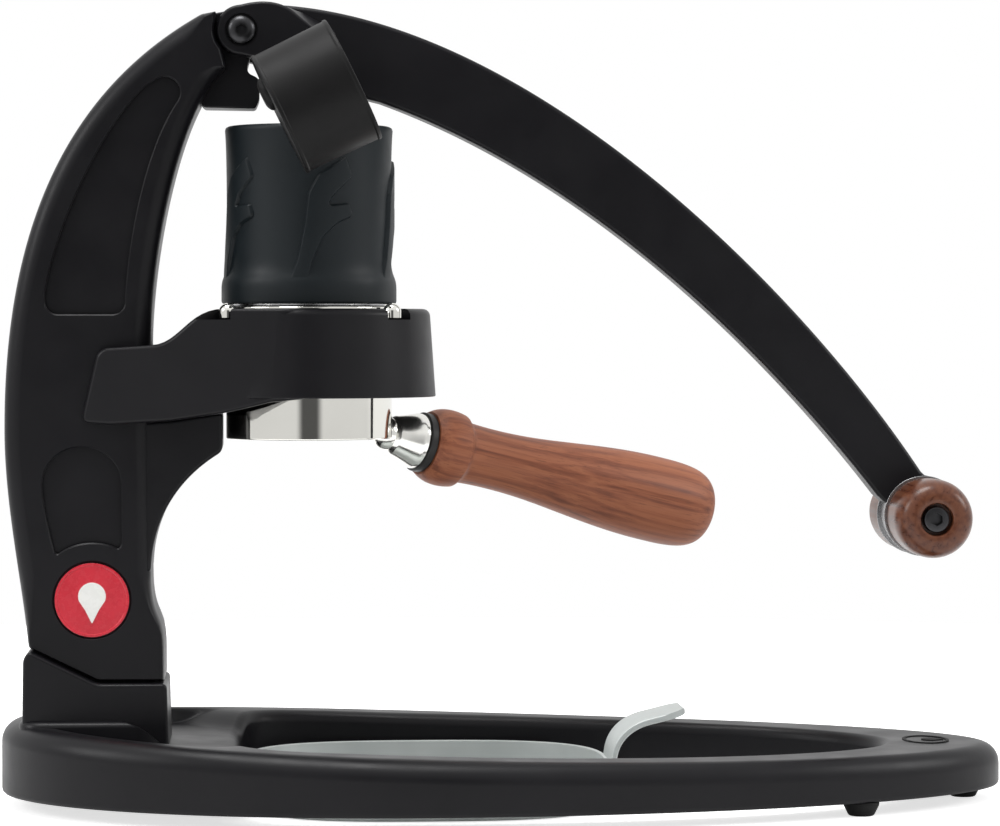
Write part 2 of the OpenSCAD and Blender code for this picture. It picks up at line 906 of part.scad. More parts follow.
module brew_cylinder() {
  color([0.75, 0.75, 0.77])
    brew_turn([
      [bore_radius, seal_top],
      [cylinder_r, seal_top],
      [cylinder_r, cylinder_top],
      [bore_radius + 1, cylinder_top],
      [bore_radius, cylinder_top - 1]
    ]);
}

module cylinder_sleeve() {
  color([0.13, 0.16, 0.17])
    brew_turn(concat(
      [
        [cylinder_r + 0.02, sleeve_bottom],
        [band_r - 0.8, sleeve_bottom],
        [band_r, sleeve_bottom + 0.8],
        [band_r, sleeve_bottom + 5.8]
      ],
      curve(
        [band_r - 0.9, sleeve_bottom + 7],
        [sleeve_radius - 0.4, sleeve_bottom + 12],
        [sleeve_radius - 0.4, sleeve_top - 16],
        [sleeve_radius, sleeve_top - 1.2], 8),
      [
        [sleeve_radius - 1, sleeve_top],
        [bore_radius + 2.4, sleeve_top],
        [bore_radius + 2.4, cylinder_top + 0.02],
        [cylinder_r + 0.02, cylinder_top + 0.02]
      ]
    ));
}

// Lever
lever_outline = concat(
  arc([pivot_x, pivot_z], crotch_r, 45, -35, 4),
  arc([brew_x, nose_z], nose_r, 205, 335, 8),
  [
    [brew_x + 9.5, nose_z - 3],
    [brew_x + 12, nose_z - 8.5],
    [brew_x + 17, nose_z - 11]
  ],
  curve(
    [brew_x + 23, pivot_z - 22.4],
    [pivot_x + 117, pivot_z - 48.4],
    [handle_x - 46.6, handle_z + 47.2],
    [handle_x - 15.2, handle_z + 6.7], 14),
  arc([handle_x, handle_z], hub_r / cos(83 / 16) + 0.03, 164, 81, 8),
  backwards(curve(
    [pivot_x + 6, pivot_z + 9],
    [pivot_x + 88.2, pivot_z + 8.7],
    [handle_x - 42.8, handle_z + 77.2],
    [handle_x - 0.7, handle_z + 14.4], 18))
);

// The fork seen from the side, before its slot is cut
fork_outline = [
  for (p = concat(
    arc([0, 0], cheek_r, 100, 268, 14),
    [[3.3, -8.8]],
    curve([16, -9.4], [22, -8.5], [24.5, -0.8], [22.4, 1.4], 6),
    backwards(curve([0, 8.1], [5.4, 9.5], [11, 9.8], [16.2, 6.5], 8))
  ))
    [pivot_x, pivot_z] + p
];

module lever_arm() {
  color([0.07, 0.07, 0.075])
    difference() {
      union() {
        soft_plate(lever_outline, lever_half, 2.2);
        difference() {
          plate(fork_outline, -cheek_out, cheek_out);
          bar([pivot_x, pivot_z], crotch_r, -cheek_in, cheek_in);
        }
      }
      bar([pivot_x, pivot_z], pin_r + 0.05, -30, 30);
      bar([pivot_x, pivot_z], 5.3, cheek_out - 1, 30);
      bar([pivot_x, pivot_z], 5.3, -30, 1 - cheek_out);
    }
}

// Domed head on the pivot axis, on side -1 or 1
module pivot_head(side) {
  translate([pivot_x, side * (cheek_out - 1), pivot_z])
    rotate([-90 * side, 0, 0])
      rotate_extrude()
        polygon([
          [0, 0],
          [4.7, 0],
          [4.7, 0.8],
          [4.2, 1.8],
          [3.2, 2.5],
          [2, 2.8],
          [0, 2.8]
        ]);
}

module pivot_bolt() {
  color([0.2, 0.2, 0.21])
    difference() {
      union() {
        pivot_head(-1);
        bar([pivot_x, pivot_z], pin_r, 0.5 - cheek_out, cheek_out + 0.6);
      }
      translate([pivot_x, 1.2 - cheek_out, pivot_z])
        rotate([90, 0, 0])
          translate([0, 0, 1])
            cylinder(h = 6, r = 1.75, $fn = 6);
    }
}

module pivot_nut() {
  color([0.2, 0.2, 0.21])
    difference() {
      pivot_head(1);
      bar([pivot_x, pivot_z], pin_r + 0.05, cheek_out - 2, cheek_out + 0.7);
    }
}

module handle_hub() {
  color([0.7, 0.7, 0.72])
    difference() {
      bar([handle_x, handle_z], hub_r, -hub_half, hub_half);
      bar([handle_x, handle_z], 3.1, -30, 30);
    }
}

module handle_washers() {
  color([0.75, 0.75, 0.77])
    for (side = [-1, 1])
      handle_turn([
        [3.1, hub_half],
        [hub_r + 1.1, hub_half],
        [hub_r + 1.1, washer_out],
        [3.1, washer_out]
      ], side);
}

knob_profile = concat(
  [
    [3.1, knob_in],
    [knob_radius - 0.9, knob_in],
    [knob_radius - 0.5, knob_in + 0.8]
  ],
  curve(
    [knob_radius - 0.4, knob_in + 1.6],
    [knob_radius, knob_in + 6],
    [knob_radius, knob_in + knob_length * 0.5],
    [knob_radius, knob_in + knob_length * 0.62], 6),
  curve(
    [knob_radius, knob_in + knob_length * 0.66],
    [knob_radius - 0.1, knob_in + knob_length * 0.92],
    [knob_radius - 3, knob_out],
    [knob_radius - 6, knob_out], 7),
  [
    [5.2, knob_out],
    [5.2, knob_seat],
    [3.1, knob_seat]
  ]
);

module handle_knob_near() {
  color([0.42, 0.22, 0.14])
    handle_turn(knob_profile, -1);
}

module handle_knob_far() {
  color([0.42, 0.22, 0.14])
    handle_turn(knob_profile, 1);
}

module handle_bolt() {
  color([0.06, 0.06, 0.06])
    difference() {
      union() {
        bar([handle_x, handle_z], 4.1, -knob_seat - 4.2, -knob_seat);
        bar([handle_x, handle_z], 3, -knob_seat - 1, knob_seat + 2.4);
      }
      translate([handle_x, -knob_seat - 1.8, handle_z])
        rotate([90, 0, 0])
          cylinder(h = 9, r = 2.1, $fn = 6);
    }
}

module handle_nut() {
  color([0.06, 0.06, 0.06])
    difference() {
      bar([handle_x, handle_z], 4.1, knob_seat, knob_seat + 4.2);
      bar([handle_x, handle_z], 3.05, knob_seat - 1, knob_seat + 2.5);
    }
}

// Plunger
module piston() {
  color([0.7, 0.7, 0.72])
    difference() {
      brew_turn([
        [0, piston_bottom],
        [piston_r - 1, piston_bottom],
        [piston_r, piston_bottom + 1],
        [piston_r, piston_bottom + 2.2],
        [ring_major - ring_minor - 0.05, piston_bottom + 2.2],
        [ring_major - ring_minor - 0.05, piston_bottom + 4.8],
        [piston_r, piston_bottom + 4.8],
        [piston_r, piston_bottom + 8.6],
        [ring_major - ring_minor - 0.05, piston_bottom + 8.6],
        [ring_major - ring_minor - 0.05, piston_bottom + 11.2],
        [piston_r, piston_bottom + 11.2],
        [piston_r, piston_top],
        [0, piston_top]
      ]);
      translate([brew_x, 0, piston_top - 8])
        cylinder(h = 20, r = 4.05);
    }
}

module piston_seals() {
  color([0.08, 0.08, 0.08])
    for (z = [3.5, 9.9])
      translate([brew_x, 0, piston_bottom + z])
        rotate_extrude($fn = 96)
          translate([ring_major, 0])
            circle(r = ring_minor, $fn = 24);
}

module plunger_stem() {
  color([0.75, 0.75, 0.77])
    translate([brew_x, 0, 0])
      union() {
        translate([0, 0, piston_top])
          cylinder(h = head_bottom - piston_top, r = 6);
        translate([0, 0, piston_top - 7.8])
          cylinder(h = head_bottom - piston_top + 13.6, r = 4);
      }
}

module stem_head() {
  color([0.2, 0.2, 0.21])
    difference() {
      brew_turn([
        [0, head_bottom],
        [head_r - 1, head_bottom],
        [head_r, head_bottom + 1],
        [head_r, head_top - 0.8],
        [head_r - 0.8, head_top],
        [0, head_top]
      ]);
      translate([brew_x, 0, head_bottom - 1])
        cylinder(h = 7, r = 4.05);
      bar([brew_x, port_z], 3.05, -12, -3);
    }
}

module gauge_fitting() {
  color([0.7, 0.7, 0.72])
    union() {
      bar([brew_x, port_z], 3, -17, -3.2);
      bar([brew_x, port_z], 3.5, -16.8, -8.2);
      translate([brew_x, -16.6, port_z])
        rotate([90, 0, 0])
          cylinder(h = 9, r = 5.6, $fn = 6);
      bar([brew_x, port_z], 3.5, gauge_y + 14.5, -24);
    }
}

// Gauge
module gauge_case() {
  color([0.05, 0.05, 0.055])
    difference() {
      gauge_frame() {
        rotate_extrude($fn = 96)
          polygon([
            [0, -gauge_front],
            [gauge_back_r - 0.8, -gauge_front],
            [gauge_back_r, 0.8 - gauge_front],
            [gauge_back_r, 1.1 - gauge_front],
            [gauge_back_r - 0.4, 1.4 - gauge_front],
            [gauge_r - 0.4, gauge_front - 1.4],
            [gauge_r, gauge_front - 1.1],
            [gauge_r, gauge_front - 0.6],
            [gauge_r - 0.6, gauge_front],
            [gauge_r - case_wall, gauge_front],
            [gauge_r - case_wall, lens_z - 1.6],
            [case_bore, lens_z - 1.6],
            [case_bore, 3 - gauge_front],
            [0, 3 - gauge_front]
          ]);
        translate([-7.4, 0, -gauge_front])
          rotate_extrude()
            polygon([
              [0, -2.1],
              [3.4, -2.1],
              [4.8, -1.5],
              [5.5, -0.4],
              [5.5, 1],
              [0, 1]
            ]);
      }
      bar([brew_x, port_z], 3.55, gauge_y + 5, 0);
    }
}

module gauge_bezel() {
  color([0.1, 0.1, 0.1])
    gauge_frame()
      rotate_extrude($fn = 96)
        polygon([
          [gauge_r - case_wall - 2.4, lens_z],
          [gauge_r - case_wall - 0.02, lens_z],
          [gauge_r - case_wall - 0.02, gauge_front - 0.6],
          [gauge_r - case_wall - 1, gauge_front - 0.3],
          [gauge_r - case_wall - 2.4, gauge_front - 1.4]
        ]);
}

module gauge_lens() {
  color([0.85, 0.9, 0.92, 0.35])
    gauge_frame()
      translate([0, 0, lens_z - 1.6])
        cylinder(h = 1.6, r = gauge_r - case_wall - 0.05);
}

module gauge_dial() {
  color([0.95, 0.95, 0.93])
    gauge_frame()
      difference() {
        translate([0, 0, dial_z - 0.6])
          cylinder(h = 0.6, r = case_bore - 0.05);
        translate([0, 0, dial_z - 2])
          cylinder(h = 4, r = 1.4);
      }
}

module gauge_movement() {
  color([0.75, 0.6, 0.3])
    gauge_frame()
      union() {
        translate([0, 0, 3 - gauge_front])
          cylinder(h = dial_z - 4.4 + gauge_front, r = 6);
        translate([0, 0, dial_z - 2])
          cylinder(h = 4, r = 1);
        translate([0, 0, dial_z - 2])
          cylinder(h = 1.38, r = 4.5);
      }
}

module bourdon_tube() {
  color([0.75, 0.6, 0.3])
    union() {
      gauge_frame()
        translate([0, 0, -gauge_shift])
          rotate([0, 0, 90])
            rotate_extrude(angle = 250)
              translate([11.2, 0])
                circle(r = 1.5, $fn = 24);
      bar([brew_x, port_z], 3, gauge_y + 9.5, gauge_y + 14.4);
    }
}

module gauge_needle() {
  color([0.8, 0.08, 0.06])
    gauge_frame()
      rotate([0, 0, -45])
        difference() {
          union() {
            translate([0, 0, dial_z + 0.5])
              cylinder(h = 1.2, r = 2);
            translate([0, 0, dial_z + 0.7])
              linear_extrude(0.6)
                polygon([[-5, -0.9], [-5, 0.9], [0, 0.8], [12, 0.2], [12, -0.2], [0, -0.8]]);
          }
          cylinder(h = 40, r = 1.05, center = true);
        }
}

// Drip tray
function tray_ring(a, b, z) = [
  for (i = [0:tray_points - 1])
    let (t = -360 * i / tray_points, c = cos(t), s = sin(t))
      [tray_x + a * sign(c) * pow(abs(c), 0.667), b * sign(s) * pow(abs(s), 0.667), z]
];

tab_line = concat(
  [[0.2, -tray_height + 3], [0.2, 0]],
  curve([0.6, 2.5], [2, 9], [7.5, 12], [12, 13.1], 6),
  [[17, 14.3], [24, 16.2]]
);

function tab_side(d) = [
  for (i = [0:len(tab_line) - 1])
    let (
      n = len(tab_line) - 1,
      v = unit(tab_line[min(n, i + 1)] - tab_line[max(0, i - 1)]),
      q = tab_line[i] + d * [-v[1], v[0]]
    )
      [tray_x + tray_half + q[0], tray_height + q[1]]
];

module drip_tray() {
  color([0.75, 0.76, 0.77])
    union() {
      loft([
        tray_ring(tray_half - 5, tray_y - 5, 0),
        tray_ring(tray_half - 3, tray_y - 3, 0.6),
        tray_ring(tray_half - 1.6, tray_y - 1.6, 3),
        tray_ring(tray_half - 0.2, tray_y - 0.2, tray_height - 0.2),
        tray_ring(tray_half - 0.5, tray_y - 0.5, tray_height),
        tray_ring(tray_half - 0.3 - tray_skin, tray_y - 0.3 - tray_skin, tray_height - 0.2),
        tray_ring(tray_half - 1.7 - tray_skin, tray_y - 1.7 - tray_skin, 3.4),
        tray_ring(tray_half - 3.6 - tray_skin, tray_y - 3.6 - tray_skin, tray_skin)
      ], [for (i = [1:tray_points - 2]) [0, i, i + 1]]);
      plate(concat(tab_side(-1), backwards(tab_side(1))), -tab_width / 2, tab_width / 2);
    }
}

base();
base_feet();
post();
post_bolts();
brew_yoke();
yoke_screws();
badge();
pivot_bush();
pivot_washers();
portafilter();
filter_basket();
portafilter_neck();
grip_ferrule();
portafilter_grip();
grip_rod();
dispersion_screen();
chamber_seal();
brew_cylinder();
cylinder_sleeve();
lever_arm();
pivot_bolt();
pivot_nut();
handle_hub();
handle_washers();
handle_knob_near();
handle_knob_far();
handle_bolt();
handle_nut();
piston();
piston_seals();
plunger_stem();
stem_head();
gauge_fitting();
gauge_case();
gauge_bezel();
gauge_lens();
gauge_dial();
gauge_movement();
bourdon_tube();
gauge_needle();
drip_tray();
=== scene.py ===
"""Looks of a manual lever espresso maker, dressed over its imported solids."""

import logging
import math
from dataclasses import dataclass
from enum import Enum
from typing import Iterable, Sequence

import bmesh
import bpy
from mathutils import Matrix, Vector


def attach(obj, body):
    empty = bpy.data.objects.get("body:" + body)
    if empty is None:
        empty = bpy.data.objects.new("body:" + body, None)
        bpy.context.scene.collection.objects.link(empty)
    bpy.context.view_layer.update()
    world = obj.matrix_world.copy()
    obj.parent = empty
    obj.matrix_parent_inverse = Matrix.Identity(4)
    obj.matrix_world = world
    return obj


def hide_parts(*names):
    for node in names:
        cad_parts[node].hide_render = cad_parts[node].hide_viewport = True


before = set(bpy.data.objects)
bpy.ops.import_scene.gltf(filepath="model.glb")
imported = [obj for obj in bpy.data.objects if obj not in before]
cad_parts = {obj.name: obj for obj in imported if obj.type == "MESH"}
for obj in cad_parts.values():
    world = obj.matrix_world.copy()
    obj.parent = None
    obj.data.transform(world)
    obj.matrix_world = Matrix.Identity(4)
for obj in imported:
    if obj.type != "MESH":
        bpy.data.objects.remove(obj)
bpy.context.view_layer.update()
LOG = logging.getLogger("lever_maker")

Color = tuple[float, float, float]
Span = tuple[float, float]
Spot = Sequence[float]
Outline = list[Vector]
Mesh = bmesh.types.BMesh
Edges = list[bmesh.types.BMEdge]
Socket = bpy.types.NodeSocket
Tree = bpy.types.NodeTree

# One millimetre in metres
MM = 0.001

# Places in millimetres that several sub-assemblies share
BREW_X = -63.4
YOKE_HEIGHT = 158.6
POST_FRONT = -114.1
GUSSET_END = -91.25
SOCKET_VEE = -131.1
SOCKET_LOW = 40.6
SOCKET_HIGH = 51.2
PIVOT = Vector((-85.1, 248.8))
HANDLE = Vector((136.5, 92.5))

# Limits of the mesh tools, in millimetres, degrees and shares, and the ways a failed cut is tried again
WELD = 1e-4
TINY = 1e-6
BOX_SLACK = 0.05
LEAST_TURN = 18.0
CORNER_ROOM = 0.48
INSET_ROOM = 0.8
WRONG_SIZE = 100000
TRIES = ((False, 0.0), (True, 0.0), (False, 0.004), (True, 0.004), (True, -0.007))


class Body(Enum):
    """The moving groups that a piece can ride on."""

    STAND = "stand"
    LEVER = "lever"
    PLUNGER = "plunger"
    NEEDLE = "needle"
    TRAY = "tray"


class Cut(Enum):
    """The ways of combining two closed meshes."""

    JOIN = "UNION"
    REMOVE = "DIFFERENCE"
    KEEP_COMMON = "INTERSECT"


def add_node(tree: Tree, kind: str, inputs: dict[str | int, object]) -> bpy.types.Node:
    """Add a shader node and feed its inputs.

    Args:
        tree: The nodes to add to.
        kind: The node's type, without the word that all of them start with.
        inputs: Plain values or other nodes' sockets, by the name or place of the input.

    Returns:
        The node.
    """
    node = tree.nodes.new(f"ShaderNode{kind}")
    for key, value in inputs.items():
        if isinstance(value, Socket):
            tree.links.new(value, node.inputs[key])
        else:
            node.inputs[key].default_value = value
    return node


def worked_out(tree: Tree, operation: str, *values: float | Socket) -> Socket:
    """Work out a value from others.

    Args:
        tree: The nodes to add to.
        operation: What is done with the values.
        values: Plain values or sockets.

    Returns:
        The result.
    """
    node = add_node(tree, "Math", dict(enumerate(values)))
    node.operation = operation
    return node.outputs["Value"]


def blended(tree: Tree, share: Socket, first: float | Socket, second: float | Socket) -> Socket:
    """Mix two values by the share of the second one."""
    return add_node(tree, "Mix", {0: share, 2: first, 3: second}).outputs[0]


def spread(tree: Tree, source: Socket, over: Span, into: Span, smooth: bool = False) -> Socket:
    """Spread a value that runs over one range into another.

    Args:
        tree: The nodes to add to.
        source: The value.
        over: The range that it runs over.
        into: The values at the range's ends.
        smooth: Whether it eases in and out.

    Returns:
        The new value.
    """
    inputs = {"Value": source, "From Min": over[0], "From Max": over[1], "To Min": into[0], "To Max": into[1]}
    node = add_node(tree, "MapRange", inputs)
    node.interpolation_type = "SMOOTHSTEP" if smooth else "LINEAR"
    return node.outputs["Result"]


class Board:
    """The node board of one material, with the few nodes that the finishes use."""

    def __init__(self, material: bpy.types.Material) -> None:
        """Take hold of the material's nodes.

        Args:
            material: The material to work on.
        """
        material.use_nodes = True
        self.tree = material.node_tree
        self.shader = next(n for n in self.tree.nodes if n.type == "BSDF_PRINCIPLED")

    def set(self, **values: float | Color) -> None:
        """Set plain values on the shader's own sockets.

        Args:
            values: Socket names with underscores for spaces, and their values.
        """
        for key, value in values.items():
            socket = self.shader.inputs[key.replace("_", " ")]
            socket.default_value = (*value, 1.0) if isinstance(value, tuple) else value

    def feed(self, key: str, source: Socket) -> None:
        """Feed one of the shader's own sockets."""
        self.tree.links.new(source, self.shader.inputs[key])

    def place(self, stretch: Color = (1, 1, 1), turn: Color = (0, 0, 0), centre: Color = (0, 0, 0)) -> Socket:
        """Give the piece's own coordinates, moved, turned and stretched.

        Args:
            stretch: Scale along each axis after the turn.
            turn: Turn in degrees about each axis.
            centre: The point in metres that becomes the pattern's centre.

        Returns:
            The vector socket to feed a texture with.
        """
        where = add_node(self.tree, "TexCoord", {}).outputs["Object"]
        moves = (
            ("Location", [-c for c in centre]),
            ("Rotation", [math.radians(a) for a in turn]),
            ("Scale", stretch),
        )
        for key, value in moves:
            where = add_node(self.tree, "Mapping", {"Vector": where, key: value}).outputs["Vector"]
        return where

    def spots(self, where: Socket, scale: float, detail: float, bend: float = 0.0) -> Socket:
        """Give a soft random pattern.

        Args:
            where: Coordinates.
            scale: Spots per metre.
            detail: How many finer layers are added.
            bend: How far the pattern is bent by itself.

        Returns:
            The pattern's factor socket.
        """
        inputs = {"Vector": where, "Scale": scale, "Detail": detail, "Distortion": bend}
        return add_node(self.tree, "TexNoise", inputs).outputs["Fac"]

    def shades(self, factor: Socket, stops: Sequence[tuple[float, Color]]) -> Socket:
        """Turn a factor into colours.

        Args:
            factor: The pattern.
            stops: Places from 0 to 1 with their colours.

        Returns:
            The colour socket.
        """
        node = add_node(self.tree, "ValToRGB", {"Fac": factor})
        ramp = node.color_ramp.elements
        while len(ramp) < len(stops):
            ramp.new(1.0)
        for element, (spot, color) in zip(ramp, stops):
            element.position = spot
            element.color = (*color, 1.0)
        return node.outputs["Color"]

    def between(self, factor: Socket, into: Span, over: Span = (0.3, 0.7)) -> Socket:
        """Spread a pattern over a range of values."""
        return spread(self.tree, factor, over, into)

    def mixed(self, share: Socket, first: Socket, second: Color) -> Socket:
        """Mix a colour into another by a pattern.

        Args:
            share: How much of the second colour shows.
            first: The colour underneath.
            second: The colour on top.

        Returns:
            The colour socket.
        """
        node = add_node(self.tree, "Mix", {0: share})
        node.data_type = "RGBA"
        self.tree.links.new(first, node.inputs[6])
        node.inputs[7].default_value = (*second, 1.0)
        return node.outputs[2]

    def bump(self, heights: Socket, strength: float, depth: float) -> None:
        """Raise a pattern on the surface.

        Args:
            heights: The pattern.
            strength: Share of the full effect.
            depth: Height of the pattern in metres.
        """
        inputs = {"Height": heights, "Strength": strength, "Distance": depth}
        self.feed("Normal", add_node(self.tree, "Bump", inputs).outputs["Normal"])

    def color(self, source: Socket) -> None:
        """Feed the shader's base colour."""
        self.feed("Base Color", source)

    def clouded(self, pattern: Socket, dark: Color, light: Color) -> None:
        """Feed the shader's base colour with a soft cloud of two shades."""
        self.color(self.shades(pattern, ((0.3, dark), (0.7, light))))

    def roughness(self, source: Socket) -> None:
        """Feed the shader's roughness."""
        self.feed("Roughness", source)


@dataclass(frozen=True)
class Finish:
    """A surface finish that knows how to build its material."""

    slot: str

    def material(self) -> bpy.types.Material:
        """Give the finish's material, built on first use.

        Returns:
            The material.
        """
        name = self.title()
        found = bpy.data.materials.get(name)
        if found is None:
            found = bpy.data.materials.new(name)
            self.dress(Board(found))
        return found

    def title(self) -> str:
        """Give the material's name."""
        return f"{self.slot}_{type(self).__name__.lower()}"

    def dress(self, board: Board) -> None:
        """Lay the finish's nodes on a board."""
        raise NotImplementedError


@dataclass(frozen=True)
class Moulding(Finish):
    """Moulded rubber, silicone or plastic with a fine skin.

    The cloud, the smear in the gloss and the grain are patterns: their spots per metre and their detail.
    """

    dark: Color
    light: Color
    gloss: Span = (0.5, 0.62)
    grain: Span = (1100.0, 2.0)
    depth: float = 0.00005
    specular: float = 0.4
    cloud: Span = (35.0, 4.0)
    smear: Span = (90.0, 4.0)
    relief: float = 0.3

    def dress(self, board: Board) -> None:
        """Lay the skin's nodes on a board.

        Args:
            board: The material's node board.
        """
        where = board.place()
        board.clouded(board.spots(where, *self.cloud), self.dark, self.light)
        board.roughness(board.between(board.spots(where, *self.smear), self.gloss))
        board.bump(board.spots(where, *self.grain), self.relief, self.depth)
        board.set(Specular_IOR_Level=self.specular)


@dataclass(frozen=True)
class PowderCoat(Moulding):
    """Satin black powder coat: a fine orange-peel grain and a slight cloud in its gloss."""

    dark: Color = (0.0040, 0.0038, 0.0049)
    light: Color = (0.0058, 0.0055, 0.0070)
    gloss: Span = (0.34, 0.44)
    grain: Span = (1500.0, 3.0)
    depth: float = 0.00006
    specular: float = 0.21
    cloud: Span = (24.0, 4.0)
    smear: Span = (60.0, 5.0)


@dataclass(frozen=True)
class Enamel(Moulding):
    """Glossy enamel with a faint depth in its colour."""

    gloss: Span = (0.22, 0.32)
    grain: Span = (900.0, 1.0)
    depth: float = 0.00004
    specular: float = 0.5
    cloud: Span = (160.0, 4.0)
    smear: Span = (700.0, 2.0)
    relief: float = 0.15


@dataclass(frozen=True)
class Metal(Finish):
    """Bare or plated metal, polished or brushed along one direction."""

    dark: Color
    light: Color
    gloss: Span
    stretch: Color = (1.0, 1.0, 1.0)
    scale: float = 300.0
    depth: float = 0.0
    metallic: float = 1.0
    tag: str = "plain"
    cloud: Span = (40.0, 3.0)
    relief: float = 0.4

    def title(self) -> str:
        """Give the material's name."""
        return f"{self.slot}_metal_{self.tag}"

    def dress(self, board: Board) -> None:
        """Lay the metal's nodes on a board.

        Args:
            board: The material's node board.
        """
        lines = board.spots(board.place(self.stretch), self.scale, 4.0)
        board.clouded(board.spots(board.place(), *self.cloud), self.dark, self.light)
        board.roughness(board.between(lines, self.gloss))
        if self.depth:
            board.bump(lines, self.relief, self.depth)
        board.set(Metallic=self.metallic)


@dataclass(frozen=True)
class Walnut(Finish):
    """Oiled walnut with its grain along the turned piece."""

    turn: Color
    centre: Color
    tag: str = "grip"
    tone: float = 0.85
    gloss: Span = (0.44, 0.54)
    figure_stretch: Color = (1.0, 1.0, 0.014)
    figure_scale: float = 560.0
    pore_stretch: Color = (1.0, 1.0, 0.03)
    pore_scale: float = 2600.0
    pore_shade: Color = (0.085, 0.026, 0.014)
    pore_depth: float = -0.00006
    specular: float = 0.36
    figure_shades: tuple[tuple[float, Color], ...] = (
        (0.28, (0.170, 0.046, 0.021)),
        (0.45, (0.300, 0.092, 0.042)),
        (0.60, (0.400, 0.138, 0.064)),
        (0.75, (0.330, 0.105, 0.048)),
    )

    def title(self) -> str:
        """Give the material's name, one for each turned piece."""
        return f"walnut_{self.tag}"

    def toned(self, color: Color) -> Color:
        """Give a shade in the piece's own tone."""
        return tuple(c * self.tone for c in color)

    def dress(self, board: Board) -> None:
        """Lay the wood's nodes on a board.

        Args:
            board: The material's node board.
        """
        along = board.place(self.figure_stretch, self.turn, self.centre)
        figure = board.spots(along, self.figure_scale, 5.0, 0.2)
        wood = board.shades(figure, [(spot, self.toned(color)) for spot, color in self.figure_shades])
        pores = board.spots(board.place(self.pore_stretch, self.turn, self.centre), self.pore_scale, 2.0)
        share = board.between(pores, (0.0, 0.5), (0.58, 0.74))
        board.color(board.mixed(share, wood, self.toned(self.pore_shade)))
        board.roughness(board.between(figure, self.gloss))
        board.bump(pores, 0.2, self.pore_depth)
        board.set(Specular_IOR_Level=self.specular)


@dataclass(frozen=True)
class Glass(Finish):
    """Clear gauge glass with a faint smear in its gloss."""

    def dress(self, board: Board) -> None:
        """Lay the glass's nodes on a board."""
        board.roughness(board.between(board.spots(board.place(), 120.0, 3.0), (0.0, 0.05)))
        board.set(Base_Color=(0.97, 0.985, 0.985), Transmission_Weight=1.0, IOR=1.46)


def grey(level: float) -> Color:
    """Give a plain grey."""
    return (level, level, level)


COAT = PowderCoat("coat")
FOOT_RUBBER = Moulding("foot_rubber", grey(0.004), grey(0.007), (0.6, 0.75), (700.0, 2.0), specular=0.2)
NYLON = Moulding("nylon", grey(0.05), grey(0.07))
SEAL_RUBBER = Moulding("seal_rubber", grey(0.02), grey(0.03))
BEZEL = Moulding("bezel", grey(0.012), grey(0.018), (0.2, 0.3))
FERRULE = Moulding("ferrule", (0.010, 0.009, 0.009), (0.015, 0.014, 0.013), (0.38, 0.5))
SILICONE = Moulding(
    "silicone", (0.0050, 0.0080, 0.0100), (0.0068, 0.0104, 0.0126), (0.42, 0.54), (1300.0, 2.0),
    depth=0.00004, specular=0.24,
)
GAUGE_BOOT = Moulding(
    "gauge_boot", (0.0044, 0.0042, 0.0044), (0.0064, 0.0062, 0.0064), (0.42, 0.52), (1000.0, 2.0),
    depth=0.00004, specular=0.17,
)
BADGE_RED = Enamel("badge_red", (0.52, 0.012, 0.028), (0.60, 0.018, 0.038))
DIAL = Enamel("dial", (0.78, 0.78, 0.75), (0.83, 0.83, 0.80))
NEEDLE = Enamel("needle", (0.50, 0.018, 0.014), (0.60, 0.025, 0.018))
GLASS = Glass("glass")
DARK_STEEL = Metal("dark_steel", (0.10, 0.10, 0.105), (0.15, 0.15, 0.155), (0.32, 0.45))
BRONZE = Metal("bronze", (0.48, 0.32, 0.14), (0.60, 0.42, 0.20), (0.25, 0.4))
CHROME = Metal("chrome", (0.80, 0.79, 0.74), (0.86, 0.85, 0.80), (0.03, 0.08), (1.0, 1.0, 0.2), 500.0)
NECK_CHROME = Metal(
    "chrome", (0.80, 0.79, 0.75), (0.86, 0.85, 0.81), (0.14, 0.22), (1.0, 1.0, 0.2), 500.0, tag="neck",
)
STEEL = Metal(
    "steel", (0.50, 0.50, 0.51), (0.57, 0.57, 0.58), (0.24, 0.31), (1.0, 1.0, 0.05), 900.0, 0.000003,
)
# Darker copy of the steel finish for the hub and its washers: painted shade where they sit between the knobs
SHADED_HUB_STEEL = Metal("steel", (0.30, 0.30, 0.305), (0.38, 0.38, 0.385), (0.24, 0.3), tag="hub")
BLACK_BOLT = Metal(
    "black_bolt", (0.040, 0.040, 0.042), (0.058, 0.058, 0.061), (0.28, 0.38), scale=600.0, depth=0.00001,
)
TRAY = Metal(
    "tray", (0.50, 0.535, 0.525), (0.58, 0.61, 0.60), (0.46, 0.58), (0.05, 1.0, 1.0), 700.0, 0.00001, 0.45,
)


def bezier(start: Spot, first: Spot, second: Spot, end: Spot, steps: int) -> Outline:
    """Give points along a cubic curve.

    Args:
        start: Where it starts.
        first: The handle at its start.
        second: The handle at its end.
        end: Where it ends.
        steps: How many spans the curve is cut into.

    Returns:
        The points, both ends included.
    """
    found = []
    for i in range(steps + 1):
        t = i / steps
        u = 1 - t
        near = Vector(start) * u**3 + Vector(first) * 3 * u * u * t
        found.append(near + Vector(second) * 3 * u * t * t + Vector(end) * t**3)
    return found


def arc(middle: Spot, radius: float, start: float, end: float, steps: int) -> Outline:
    """Give points along an arc.

    Args:
        middle: The arc's centre.
        radius: Its radius.
        start: First angle in degrees.
        end: Last angle in degrees.
        steps: How many spans the arc is cut into.

    Returns:
        The points, both ends included.
    """
    angles = [math.radians(start + (end - start) * i / steps) for i in range(steps + 1)]
    return [Vector((middle[0] + radius * math.cos(a), middle[1] + radius * math.sin(a))) for a in angles]


def points_at(*pairs: Spot) -> Outline:
    """Give plain pairs as points."""
    return [Vector(pair) for pair in pairs]


def quarter(step: int) -> list[float]:
    """Give the angles of a quarter turn in radians, one for every so many degrees."""
    return [math.radians(a) for a in range(0, 91, step)]


